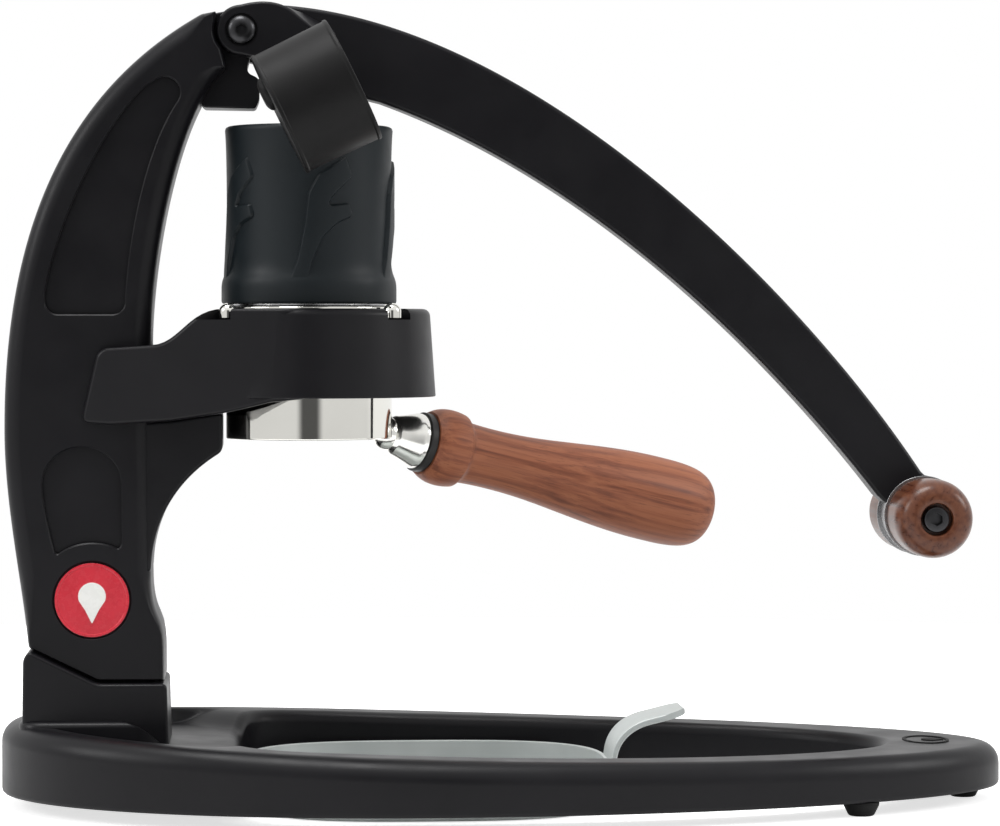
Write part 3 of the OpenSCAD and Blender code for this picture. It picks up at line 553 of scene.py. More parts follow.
def rounding(first: Vector, corner: Vector, last: Vector, steps: int) -> Outline:
    """Give the points of a corner's rounding.

    Args:
        first: Where the rounding starts.
        corner: The corner itself.
        last: Where the rounding ends.
        steps: How many spans the rounding is cut into.

    Returns:
        The points, both ends included.
    """
    places = [k / steps for k in range(steps + 1)]
    return [first * (1 - t) ** 2 + corner * 2 * t * (1 - t) + last * t * t for t in places]


def turn_at(outline: Outline, i: int) -> float:
    """Give how sharply an outline turns at one point.

    Args:
        outline: A closed outline.
        i: The point's place.

    Returns:
        The turn in degrees.
    """
    before = outline[i] - outline[i - 1]
    after = outline[(i + 1) % len(outline)] - outline[i]
    if before.length < TINY or after.length < TINY:
        return 0.0
    return math.degrees(before.angle(after))


def walk(outline: Outline, start: int, reach: float, step: int) -> Vector:
    """Go along a closed outline from one of its points.

    Args:
        outline: The outline.
        start: The place to start from.
        reach: How far to go.
        step: 1 to go forwards, -1 to go back.

    Returns:
        The point that is reached.
    """
    here, left, i = outline[start], reach, start
    while True:
        i = (i + step) % len(outline)
        span = (outline[i] - here).length
        if span >= left:
            return here.lerp(outline[i], left / span)
        left -= span
        here = outline[i]


def eased(outline: Outline, reach: float, steps: int = 6) -> Outline:
    """Round the corners of a closed outline.

    Args:
        outline: The outline.
        reach: How far from a corner its rounding starts.
        steps: Spans of each rounding.

    Returns:
        The outline with rounded corners.
    """
    count = len(outline)
    spans = [(outline[(i + 1) % count] - outline[i]).length for i in range(count)]
    corners = [i for i in range(count) if turn_at(outline, i) > LEAST_TURN]
    near: dict[int, float] = {}
    for corner in corners:
        room = reach
        for other in corners:
            if other != corner:
                ahead = sum(spans[(corner + k) % count] for k in range((other - corner) % count))
                room = min(room, CORNER_ROOM * ahead, CORNER_ROOM * (sum(spans) - ahead))
        near[corner] = room
    gone = set()
    for corner, room in near.items():
        for step in (1, -1):
            i, far = corner, 0.0
            while True:
                far += spans[i] if step == 1 else spans[i - 1]
                i = (i + step) % count
                if far >= room - TINY:
                    break
                gone.add(i)
    result: Outline = []
    for i in range(count):
        if i in near:
            first, last = walk(outline, i, near[i], -1), walk(outline, i, near[i], 1)
            result += rounding(first, outline[i], last, steps)
        elif i not in gone:
            result.append(outline[i].copy())
    return [p for i, p in enumerate(result) if (p - result[i - 1]).length > WELD]


def inward(outline: Outline, i: int) -> Vector:
    """Give the inward direction at one point of an anticlockwise outline.

    Args:
        outline: The outline.
        i: The point's place.

    Returns:
        A unit vector.
    """
    along = (outline[(i + 1) % len(outline)] - outline[i - 1]).normalized()
    return Vector((-along.y, along.x))


def room_inside(outline: Outline, depth: float) -> list[float]:
    """Find what share of an inset each point can take without the outline crossing itself.

    Args:
        outline: An anticlockwise outline.
        depth: The inset that is wanted.

    Returns:
        A share for each point, 1 where the whole inset fits.
    """
    shares = []
    for i, point in enumerate(outline):
        way, room = inward(outline, i), depth / INSET_ROOM
        for other in outline:
            off = other - point
            ahead = off.dot(way)
            if ahead > TINY:
                room = min(room, off.length_squared / (2 * ahead))
        shares.append(min(1.0, INSET_ROOM * room / depth))
    return shares


def inset(outline: Outline, depth: float, shares: Sequence[float] = ()) -> Outline:
    """Move an anticlockwise outline inwards.

    Args:
        outline: The outline.
        depth: How far its points move.
        shares: The share of it that each point takes, if not the whole.

    Returns:
        The moved outline.
    """
    parts = shares or [1.0] * len(outline)
    return [point + inward(outline, i) * depth * parts[i] for i, point in enumerate(outline)]


def facing_out(outline: Outline) -> Outline:
    """Give an outline in anticlockwise order.

    Args:
        outline: A closed outline in any order.

    Returns:
        The same points, anticlockwise.
    """
    count = len(outline)
    area = sum(outline[i].cross(outline[(i + 1) % count]) for i in range(count))
    return outline if area > 0 else outline[::-1]


def swept(rows: list[list[Vector]], capped: bool) -> Mesh:
    """Run a ring of points through rows of places.

    Args:
        rows: Each row holds the ring's points, in millimetres.
        capped: True closes both ends with a face, False joins the last row to the first.

    Returns:
        The closed mesh.
    """
    bm = bmesh.new()
    mark = bm.verts.layers.int.new("mark")
    ring = bmesh.ops.create_circle(bm, cap_ends=False, segments=len(rows[0]), radius=1.0)["verts"]
    for i, vert in enumerate(ring):
        vert[mark] = i
        vert.co = rows[0][i]
    edges = list(bm.edges)
    if capped:
        bmesh.ops.contextual_create(bm, geom=edges)
    for row in rows[1:] + ([] if capped else [rows[0]]):
        made = bmesh.ops.extrude_edge_only(bm, edges=edges)["geom"]
        fresh = {g for g in made if isinstance(g, bmesh.types.BMVert)}
        for vert in fresh:
            vert.co = row[vert[mark]]
        edges = [g for g in made if isinstance(g, bmesh.types.BMEdge) and set(g.verts) <= fresh]
    if capped:
        bmesh.ops.contextual_create(bm, geom=edges)
    bmesh.ops.remove_doubles(bm, verts=bm.verts, dist=WELD)
    bmesh.ops.recalc_face_normals(bm, faces=bm.faces)
    return bm


@dataclass(frozen=True)
class Crisp:
    """A round area in which a plate's edges are rounded less, with a ring round it where this fades."""

    middle: Span
    reach: float
    share: float
    fade: float = 0.6

    def share_at(self, point: Vector) -> float:
        """Give the share of the rounding that is left at a point."""
        away = (point - Vector(self.middle)).length / self.reach
        return self.share + (1 - self.share) * min(1.0, max(0.0, (away - 1) / self.fade))


def soft_plate(outline: Outline, half: float, radius: float, corner: float = 0.0,
               crisp: Sequence[Crisp] = ()) -> Mesh:
    """Make an upright plate in the XZ plane with rounded edges.

    Args:
        outline: Its outline in X and Z.
        half: Half its thickness.
        radius: Radius of its edges.
        corner: How far the outline's own corners are eased, if not by the radius.
        crisp: Areas with less rounding.

    Returns:
        The closed mesh.
    """
    outline = eased(facing_out(outline), corner or max(1.6 * radius, 0.6))
    shares = [
        min([share] + [area.share_at(point) for area in crisp])
        for share, point in zip(room_inside(outline, radius), outline)
    ]
    sides = [(half - radius * (1 - math.cos(a)), radius * (1 - math.sin(a))) for a in quarter(15)]
    places = [(-y, d) for y, d in sides] + [(y, d) for y, d in reversed(sides)]
    rows = [[Vector((p.x, y, p.y)) for p in inset(outline, d, shares)] for y, d in places]
    return swept(rows, True)


def prism(outline: Outline, low: float, high: float) -> Mesh:
    """Make a plain upright plate between two Y positions.

    Args:
        outline: Its outline in X and Z.
        low: Its lower Y.
        high: Its higher Y.

    Returns:
        The closed mesh.
    """
    return swept([[Vector((p.x, y, p.y)) for p in outline] for y in (low, high)], True)


def column(outline: Outline, low: float, high: float) -> Mesh:
    """Make a plain standing prism between two heights.

    Args:
        outline: Its outline in X and Y.
        low: Its lower Z.
        high: Its higher Z.

    Returns:
        The closed mesh.
    """
    return swept([[Vector((p.x, p.y, z)) for p in outline] for z in (low, high)], True)


def stacked(outline: Outline, levels: Sequence[Span]) -> Mesh:
    """Make a standing prism whose outline shrinks from level to level.

    Args:
        outline: Its outline in X and Y.
        levels: Heights, each with how far the outline is inset there.

    Returns:
        The closed mesh.
    """
    return swept([[Vector((p.x, p.y, z)) for p in inset(outline, d)] for z, d in levels], True)


def softened(profile: Sequence[Span], radius: float, closed: bool) -> Outline:
    """Round the corners of a turning profile.

    Args:
        profile: Radius and height pairs.
        radius: Rounding of its corners.
        closed: Whether the profile is a ring of points.

    Returns:
        The rounded profile.
    """
    points = [Vector(p) for p in profile]
    if closed:
        return eased(points, radius, 4)
    count = len(points)
    result = [points[0]]
    for i in range(1, count - 1):
        before, here, after = points[i - 1], points[i], points[i + 1]
        turn = math.degrees((here - before).angle(after - here))
        room = min(radius, CORNER_ROOM * (here - before).length, CORNER_ROOM * (after - here).length)
        if turn < LEAST_TURN:
            result.append(here)
            continue
        first = here + (before - here).normalized() * room
        last = here + (after - here).normalized() * room
        result += rounding(first, here, last, 4)
    return result + [points[-1]]


def turned(profile: Sequence[Spot], where: Matrix, closed: bool = False, steps: int = 96) -> Mesh:
    """Turn a profile about a local Z axis.

    Args:
        profile: Radius and height pairs, in millimetres.
        where: The local frame, in millimetres.
        closed: True for a ring, False for a profile with both ends on the axis.
        steps: Facets round the axis.

    Returns:
        The closed mesh.
    """
    bm = bmesh.new()
    verts = [bm.verts.new((p[0], 0.0, p[1])) for p in profile]
    pairs = list(zip(verts, verts[1:])) + ([(verts[-1], verts[0])] if closed else [])
    edges = [bm.edges.new(pair) for pair in pairs]
    bmesh.ops.spin(bm, geom=verts + edges, cent=(0, 0, 0), axis=(0, 0, 1), dvec=(0, 0, 0),
                   angle=math.tau, steps=steps, use_merge=True, use_duplicate=False)
    bmesh.ops.remove_doubles(bm, verts=bm.verts, dist=WELD)
    bmesh.ops.recalc_face_normals(bm, faces=bm.faces)
    bm.transform(where)
    return bm


def rod(where: Matrix, radius: float, low: float, high: float, sides: int = 64) -> Mesh:
    """Make a plain round or hexagonal rod along a local Z axis.

    Args:
        where: The local frame, in millimetres.
        radius: Its radius.
        low: Where it starts.
        high: Where it ends.
        sides: Its sides.

    Returns:
        The closed mesh.
    """
    bm = bmesh.new()
    bmesh.ops.create_cone(bm, cap_ends=True, segments=sides, radius1=radius, radius2=radius, depth=high - low,
                          matrix=where @ Matrix.Translation((0, 0, (low + high) / 2)))
    return bm


def block(low: Spot, high: Spot, where: Matrix = Matrix()) -> Mesh:
    """Make a plain block.

    Args:
        low: Its lowest corner, in millimetres.
        high: Its highest corner.
        where: The local frame.

    Returns:
        The closed mesh.
    """
    bm = bmesh.new()
    middle = (Vector(low) + Vector(high)) / 2
    size = Vector(high) - Vector(low)
    shape = where @ Matrix.Translation(middle) @ Matrix.Diagonal((*size, 1.0))
    bmesh.ops.create_cube(bm, size=1.0, matrix=shape)
    return bm


def sharp_edges(bm: Mesh, least: float) -> Edges:
    """Give the edges whose two faces turn by more than so many degrees."""
    return [e for e in bm.edges if len(e.link_faces) == 2 and math.degrees(e.calc_face_angle(0.0)) > least]


def bevelled(bm: Mesh, edges: Edges, width: float, segments: int, clamp: bool = True) -> Mesh:
    """Bevel some edges of a mesh.

    Args:
        bm: The mesh.
        edges: The edges.
        width: How far the bevel reaches from an edge.
        segments: Facets across it.
        clamp: Whether bevels are kept from overlapping.

    Returns:
        The same mesh.
    """
    bmesh.ops.bevel(bm, geom=edges, offset=width, offset_type="OFFSET", affect="EDGES", segments=segments,
                    profile=0.5, material=-1, clamp_overlap=clamp)
    return bm


def rounded_edges(bm: Mesh, width: float, segments: int = 3, least: float = 30.0) -> Mesh:
    """Round the sharp edges of a mesh.

    Args:
        bm: The mesh.
        width: How far the rounding reaches from an edge.
        segments: Facets across it.
        least: Edges that turn less than this many degrees stay as they are.

    Returns:
        The same mesh.
    """
    return bevelled(bm, sharp_edges(bm, least), width, segments)


def baked(name: str, bm: Mesh) -> bpy.types.Mesh:
    """Turn a work mesh into one that an object can hold, and free it.

    Args:
        name: The new mesh's name.
        bm: The work mesh.

    Returns:
        The new mesh.
    """
    mesh = bpy.data.meshes.new(name)
    bm.to_mesh(mesh)
    bm.free()
    return mesh


def in_scene(name: str, data: bpy.types.ID) -> bpy.types.Object:
    """Put a mesh, a curve, a camera or a light into the scene.

    Args:
        name: The object's name.
        data: What it holds.

    Returns:
        The object.
    """
    thing = bpy.data.objects.new(name, data)
    bpy.context.scene.collection.objects.link(thing)
    return thing


def finished(thing: bpy.types.Object) -> Mesh:
    """Give an object's mesh with its modifiers at work, welded.

    Args:
        thing: The object.

    Returns:
        The mesh.
    """
    graph = bpy.context.evaluated_depsgraph_get()
    graph.update()
    bm = bmesh.new()
    bm.from_mesh(thing.evaluated_get(graph).to_mesh())
    bmesh.ops.remove_doubles(bm, verts=bm.verts, dist=WELD)
    return bm


def extent(bm: Mesh) -> tuple[Vector, Vector]:
    """Give the low and the high corner of a mesh."""
    places = [v.co for v in bm.verts] or [Vector()]
    return Vector(map(min, zip(*places))), Vector(map(max, zip(*places)))


def faults(result: Mesh, inputs: Sequence[tuple[float, Vector, Vector]], way: Cut) -> int:
    """Count what is wrong with a combined mesh.

    Args:
        result: The combined mesh.
        inputs: The volume and the corners of each of the two meshes it came from.
        way: How they were combined.

    Returns:
        The number of open edges, and many more where its size can't be right.
    """
    (one, low, high), (two, other_low, other_high) = inputs
    least, most = {
        Cut.JOIN: (max(one, two), one + two),
        Cut.REMOVE: (one - two, one),
        Cut.KEEP_COMMON: (TINY, min(one, two)),
    }[way]
    if way is Cut.JOIN:
        low, high = Vector(map(min, low, other_low)), Vector(map(max, high, other_high))
    slack = 0.002 * one + 0.05
    sound = bool(result.verts) and least - slack <= result.calc_volume() <= most + slack
    got_low, got_high = extent(result)
    sound = sound and all(got >= edge - BOX_SLACK for got, edge in zip(got_low, low))
    sound = sound and all(got <= edge + BOX_SLACK for got, edge in zip(got_high, high))
    return sum(not e.is_manifold for e in result.edges) + (0 if sound else WRONG_SIZE)


def combined(first: Mesh, second: Mesh, way: Cut) -> Mesh:
    """Combine two closed meshes, and free both.

    Where the result isn't sound it is tried again with more tolerance, and with the second mesh a few
    micrometres off.

    Args:
        first: The mesh to work on.
        second: The other mesh.
        way: How the second one acts on the first.

    Returns:
        The soundest result.
    """
    objects, inputs = [], []
    for bm in (first, second):
        inputs.append((abs(bm.calc_volume()), *extent(bm)))
        objects.append(in_scene("work", baked("work", bm)))
    modifier = objects[0].modifiers.new("combine", "BOOLEAN")
    modifier.object = objects[1]
    modifier.operation = way.value
    modifier.solver = "EXACT"
    best, fewest = bmesh.new(), math.inf
    for tolerant, aside in TRIES:
        modifier.use_self = modifier.use_hole_tolerant = tolerant
        objects[1].location = (aside, 0.8 * aside, 0.6 * aside)
        result = finished(objects[0])
        bmesh.ops.dissolve_degenerate(result, edges=result.edges, dist=WELD)
        bmesh.ops.delete(result, geom=[e for e in result.edges if e.is_wire], context="EDGES")
        bmesh.ops.holes_fill(result, edges=[e for e in result.edges if e.is_boundary], sides=8)
        count = faults(result, inputs, way)
        if count < fewest:
            best, result, fewest = result, best, count
        result.free()
        if not fewest:
            break
    for work in objects:
        mesh = work.data
        bpy.data.objects.remove(work)
        bpy.data.meshes.remove(mesh)
    if fewest:
        LOG.warning("%s: %d faults left", way.name, fewest)
    return best


def joined(first: Mesh, *others: Mesh) -> Mesh:
    """Join closed meshes, one after another.

    Args:
        first: The mesh to start from, which is freed like the others.
        others: The meshes that are added.

    Returns:
        One closed mesh.
    """
    for other in others:
        first = combined(first, other, Cut.JOIN)
    return first


def cut_out(first: Mesh, *tools: Mesh) -> Mesh:
    """Take closed meshes out of another, one after another.

    Args:
        first: The mesh to cut, which is freed like the others.
        tools: The meshes that are taken out.

    Returns:
        What is left.
    """
    for tool in tools:
        first = combined(first, tool, Cut.REMOVE)
    return first


def merged(parts: Sequence[Mesh]) -> Mesh:
    """Put several meshes into one without combining their volumes.

    Args:
        parts: The meshes, which are freed.

    Returns:
        One mesh with all of them.
    """
    whole = bmesh.new()
    for part in parts:
        mesh = baked("work", part)
        whole.from_mesh(mesh)
        bpy.data.meshes.remove(mesh)
    return whole


def hand_over(name: str, bm: Mesh, finish: Finish, body: Body, stands_for: Sequence[str] = (),
              crease: float = 32.0) -> bpy.types.Object:
    """Make a finished piece from a mesh in millimetres.

    Args:
        name: The piece's name.
        bm: Its mesh, which is freed.
        finish: Its finish.
        body: The group that it moves with.
        stands_for: The nodes that it replaces.
        crease: Edges that turn more than this many degrees stay sharp.

    Returns:
        The piece.
    """
    bmesh.ops.scale(bm, vec=(MM, MM, MM), verts=bm.verts)
    mesh = baked(name, bm)
    mesh.materials.append(finish.material())
    mesh.shade_smooth()
    mesh.set_sharp_from_angle(angle=math.radians(crease))
    piece = in_scene(name, mesh)
    even = piece.modifiers.new("even", "WEIGHTED_NORMAL")
    even.keep_sharp = True
    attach(piece, body.value)
    if stands_for:
        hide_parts(*stands_for)
    LOG.info("%s: %d faces on %s", name, len(mesh.polygons), body.value)
    return piece


def dress_nodes(finish: Finish, names: Iterable[str]) -> None:
    """Give kept nodes their finish.

    Args:
        finish: The finish.
        names: The nodes.
    """
    for name in names:
        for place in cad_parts[name].material_slots:
            place.material = finish.material()
        LOG.info("%s: kept, dressed as %s", name, finish.slot)


def shift(x: float, y: float, z: float) -> Matrix:
    """Give a frame that is moved, in millimetres."""
    return Matrix.Translation((x, y, z))


def spin(angle: float, axis: str) -> Matrix:
    """Give a frame that is turned about an axis by so many degrees."""
    return Matrix.Rotation(math.radians(angle), 4, axis)


def across(x: float, z: float, side: int = 1) -> Matrix:
    """Give a frame whose local Z runs along Y.

    Args:
        x: Its place along X, in millimetres.
        z: Its height.
        side: 1 for towards +Y, -1 for towards -Y.

    Returns:
        The frame.
    """
    return shift(x, 0, z) @ spin(-90 * side, "X")


# Frames of the brew head's axis, the portafilter's grip and the gauge
BREW = shift(BREW_X, 0, 0)
GRIP = shift(BREW_X, 0, 119.4) @ spin(26, "Z") @ shift(26.8, 0, 0) @ spin(103, "Y")
GAUGE = shift(-61.782, -48.9, 225.389) @ spin(64, "Y")


@dataclass
class BaseCasting:
    """The oval base ring with its socket, and the feet under it.

    Each pair of powers is for the outer oval and for the opening, and gives how full its curve is.
    """

    length: float = 325.0
    width: float = 159.0
    underside: float = 4.5
    middle: float = -25.025
    rim_front: float = 18.5
    rim_middle: float = 21.0
    rim_back: float = 28.0
    rim_width: float = 19.5
    rim_round: float = 7.0
    opening_round: float = 4.0
    under_round: float = 1.5
    slope_start: float = 11.0
    slope_end: float = 15.0
    tip_width: float = 39.5
    tip_powers: Span = (1.85, 2.0)
    back_powers: Span = (2.1, 6.0)
    opening_back: float = -86.2
    dip: float = 5.0
    dip_from: float = 26.0
    dip_over: float = 16.0
    stations: int = 240
    squeeze: float = 0.55
    emblem_at: float = 138.5
    emblem_rise: float = 0.35
    emblem_ovals: tuple[Span, Span] = ((7.5, 11.0), (6.5, 10.0))
    socket: tuple[float, float, float] = (-154.5, -109.0, 22.0)
    plinth_top: float = 28.9
    bolts: Span = (-140.2, -122.5)
    feet: tuple[Span, ...] = (
        (151.0, 0.0), (109.85, 45.5), (109.85, -45.5), (-107.0, 24.0), (-107.0, -24.0),
    )

    def rim_height(self, x: float) -> float:
        """Give the rim's height at a place along the base.

        Args:
            x: The place.

        Returns:
            The height.
        """
        k = 2 * x / self.length
        lean = (self.rim_front - self.rim_back) / 2
        bow = (self.rim_front + self.rim_back) / 2 - self.rim_middle
        return self.rim_middle + lean * k + bow * k * k

    def reach(self, c: float, s: float, inner: bool) -> float:
        """Give how far the outer oval or the opening's edge lies from the middle.

        Args:
            c: X share of the direction.
            s: Y share of the direction.
            inner: True for the opening's edge.

        Returns:
            The distance.
        """
        side = self.width / 2 - (self.rim_width if inner else 0)
        if c > 0:
            end = self.length / 2 - self.middle - (self.tip_width if inner else 0)
            power = self.tip_powers[inner]
        else:
            end = self.middle - self.opening_back if inner else self.length / 2 + self.middle
            power = self.back_powers[inner]
        return ((abs(c) / end) ** power + (abs(s) / side) ** power) ** (-1 / power)

    def section(self, c: float, s: float) -> Outline:
        """Give the ring's section in one direction.

        Args:
            c: X share of the direction.
            s: Y share of the direction.

        Returns:
            The section's points, from the outer underside over the rim to the inner underside.
        """
        out, inn = self.reach(c, s, False), self.reach(c, s, True)
        wide = out - inn
        k = min(1.0, max(0.0, (wide - self.dip_from) / self.dip_over))
        dip = self.dip * k * k * (3 - 2 * k) if c < 0 else 0.0
        start, edge, rim, under = self.slope_start, self.opening_round, self.rim_round, self.under_round
        slope = out - min(self.slope_end, wide - edge)

        def top(r: float, drop: float) -> Vector:
            """Give a point below the rim's top."""
            x = self.middle + r * c
            return Vector((x, r * s, self.rim_height(x) - drop))

        def low(r: float, z: float) -> Vector:
            """Give a point at a height."""
            return Vector((self.middle + r * c, r * s, z))

        turns = quarter(10)
        points = [
            low(out - under * (1 - math.sin(a)), self.underside + under * (1 - math.cos(a)))
            for a in turns[::3]
        ]
        points += [top(out - rim * (1 - math.cos(a)), rim * (1 - math.sin(a))) for a in turns]
        ease = [i / 6 for i in range(7)]
        points += [top(out - start + (slope - out + start) * t, dip * t * t * (3 - 2 * t)) for t in ease]
        last = turns[::2] + [turns[-1]]
        points += [top(inn + edge * (1 - math.sin(a)), dip + edge * (1 - math.cos(a))) for a in last]
        points += [low(inn, self.underside + 1), low(inn + 1, self.underside)]
        return points

    def ring(self) -> Mesh:
        """Sweep the section round the oval.

        Returns:
            The closed mesh.
        """
        sections = []
        for i in range(self.stations):
            t = math.tau * i / self.stations
            way = Vector((math.cos(t), self.squeeze * math.sin(t))).normalized()
            sections.append(self.section(way.x, way.y))
        return swept([list(row) for row in zip(*sections)], False)

    def emblem(self) -> Mesh:
        """Make a plain raised drop inside an oval, for the flat of the tip.

        Returns:
            The mesh of both.
        """
        x, top = self.emblem_at, self.rim_height(self.emblem_at) + self.emblem_rise
        circle = arc((0, 0), 1, 0, 355, 71)
        oval, hole = ([Vector((x + a * q.x, b * q.y)) for q in circle] for a, b in self.emblem_ovals)
        drop = [Vector((x + 1.6 - q.y, q.x)) for q in arc((0, 0), 3.0, -20, 200, 24)]
        drop += points_at((x + 6.0, 0.0))
        ring = cut_out(column(oval, top - 1.5, top), column(hole, top - 3, top + 3))
        return merged([ring, column(eased(drop, 0.4), top - 1.5, top)])

    def plinth(self) -> Mesh:
        """Make the raised step that the socket stands on.

        Returns:
            The closed mesh.
        """
        left, right, half = self.socket
        back, front, edge, top = left - 1.6, right - 1, half + 3.5, self.plinth_top
        foot = eased(points_at((back, -edge), (front, -edge), (front, edge), (back, edge)), 9.0, 10)
        levels = ((8.5, 0.0), (27.0, 0.0), (27.9, 0.25), (28.6, 0.9), (top, 1.9))
        side = bezier((front, 21), (right - 5.5, 24.5), (right - 9, top), (right - 17, top), 16)
        side += points_at((left - 3, top), (left - 3, 8), (front, 8))
        return combined(stacked(foot, levels), prism(side, -60, 60), Cut.KEEP_COMMON)

    def build(self) -> None:
        """Build the casting, its feet and the mark on its tip."""
        left, right, half = self.socket
        outline = points_at(
            (left - 0.6, 9.5), (right + 0.9, 9.5), (right, SOCKET_LOW), (SOCKET_VEE, SOCKET_LOW),
            (left + 1.8, SOCKET_HIGH), (left, SOCKET_HIGH - 2.5),
        )
        bm = joined(self.ring(), self.plinth(), soft_plate(outline, half, 1.1))
        hole = rounded_edges(block((-148.4, -13.2, 14), (-114.3, 13.2, 74)), 0.4, 1)
        bores = [rod(shift(x, 0, 0), r, 0, high) for x in self.bolts for r, high in ((5.6, 9.9), (3.2, 15))]
        bm = cut_out(bm, hole, *bores)
        hand_over("base_casting", bm, COAT, Body.STAND, ["base"], crease=40.0)
        profile = softened([(0, 0.0), (4.0, 0.0), (5.7, 3.5), (5.7, 4.5), (0, 4.5)], 0.7, False)
        pads = [turned(profile, shift(x, y, 0), steps=40) for x, y in self.feet]
        hand_over("rubber_feet", merged(pads), FOOT_RUBBER, Body.STAND, ["base_feet"])
        hand_over("tip_emblem", self.emblem(), FOOT_RUBBER, Body.STAND)
        dress_nodes(DARK_STEEL, ["post_bolts"])


@dataclass
class Post:
    """The C-shaped post, its pockets, its pivot tongue and its badge."""

    back: float = -160.7
    half: float = 18.0
    rounding: float = 5.5
    pocket_depth: float = 2.2
    rim_chamfer: float = 0.45
    badge_radius: float = 11.8
    tongue_half: float = 8.0
    gusset_half: float = 16.2
    pivot_bore: float = 5.02
    tongue: tuple[Span, ...] = (
        (-20, -12), (-12, -24.4), (4.6, -24.6), (5.8, -21.6), (5.8, -15.7), (4.9, -14.6), (2.4, -13.4),
        (1.8, -11.9), (5, 0), (0, 7.9), (-5.8, 6.4), (-9, 5.8), (-14, 3.6),
    )

    def outline(self) -> Outline:
        """Give the post's side outline.

        Returns:
            The outline in X and Z.
        """
        back, front, yoke, low, high = self.back, POST_FRONT, YOKE_HEIGHT, SOCKET_LOW, SOCKET_HIGH
        x, z = PIVOT
        points = bezier(
            (back + 7.6, high + 0.5), (back + 5.2, high + 23), (back, yoke - 61), (back, yoke - 37.7), 24,
        )
        points += bezier(
            (back, yoke - 37.7), (back, yoke + 12.2), (back + 11.5, z - 24), (x - 12.7, z + 5.1), 60,
        )[1:]
        points += [arc(PIVOT, 9.8 - 0.4 * k, 143 + 6 * k, 222, 1)[0] for k in range(4)]
        points += arc(PIVOT, 8.6, 168, 222, 12)
        points += bezier(
            (x - 4.6, z - 12.2), (x - 19.4, z - 23.1), (front + 0.6, yoke + 19.4), (front, yoke - 8.7), 44,
        )
        points += bezier(
            (front, low + 35), (front, low + 18.5), (front + 4.3, low + 23.5), (front + 4.3, low + 9), 16,
        )
        return points + points_at((front + 4.3, low + 0.4), (SOCKET_VEE, low + 0.4))

    def upper_pocket(self) -> Outline:
        """Give the upper pocket's outline.

        Returns:
            The outline in X and Z.
        """
        back, front, yoke = self.back, POST_FRONT, YOKE_HEIGHT
        x, z = PIVOT
        points = bezier(
            (back + 13.3, yoke + 6.2), (back + 15.7, yoke + 24.4),
            (x - 45.4, z - 32.3), (x - 30.4, z - 18.2), 36,
        )[::-1]
        points += arc((back + 17.3, yoke + 3.5), 4, 180, 270, 8)
        points += arc((front - 12, yoke + 3.5), 4, 270, 355, 8)
        points += bezier(
            (front - 8, yoke + 5.5), (front - 6.5, yoke + 27.4),
            (x - 29.9, z - 37.0), (x - 20.3, z - 22.9), 32,
        )
        return points + arc((x - 24.3, z - 20.1), 4.9, -30, 130, 12)

    def lower_pocket(self) -> Outline:
        """Give the lower pocket's outline.

        Returns:
            The outline in X and Z.
        """
        front, yoke = POST_FRONT, YOKE_HEIGHT
        points = points_at((front - 9.3, yoke - 73.8))
        arch = arc((0, 0), 1, 0, 180, 28)
        points += [Vector((front - 21.9 + 12.5 * q.x, yoke - 54.6 + 11.8 * q.y)) for q in arch]
        points += bezier(
            (front - 34.3, yoke - 56.5), (front - 34, yoke - 63),
            (front - 31.5, yoke - 72), (front - 30.6, yoke - 76.2), 12,
        )
        return points + bezier(
            (front - 29.6, yoke - 76.9), (front - 24, yoke - 72.4),
            (front - 16, yoke - 72.2), (front - 10.2, yoke - 75.2), 16,
        )

    def gusset(self) -> Outline:
        """Give the outline of the web under the yoke.

        Returns:
            The outline in X and Z.
        """
        front, yoke = POST_FRONT, YOKE_HEIGHT
        points = bezier(
            (GUSSET_END, yoke - 44.3), (front + 6.3, yoke - 53.9), (front, yoke - 69), (front, yoke - 83), 24,
        )
        return points + points_at(
            (front - 14, yoke - 83), (front - 14, yoke - 36), (front, yoke - 34.7),
            (front + 6.4, yoke - 34.3), (GUSSET_END, yoke - 31.8),
        )

    def rim_pockets(self, bm: Mesh) -> None:
        """Chamfer the edges where the pockets meet the post's faces.

        Args:
            bm: The post with its pockets cut.
        """
        flat = [
            e for e in sharp_edges(bm, 60.0)
            if all(abs(abs(v.co.y) - self.half) < 1e-3 for v in e.verts)
        ]
        bevelled(bm, flat, self.rim_chamfer, 1, False)

    def drop(self, face: Matrix) -> Mesh:
        """Make a plain drop for the badge.

        Args:
            face: The badge's frame.

        Returns:
            The closed mesh.
        """
        outline = arc((0.0, 1.2), 4.4, -20, 200, 32) + points_at((-2.2, -3.2), (0.0, -7.6), (2.2, -3.2))
        bm = stacked(eased(outline, 0.5), ((17.8, 0.0), (18.02, 0.0), (18.08, 0.06)))
        bm.transform(face)
        return bm

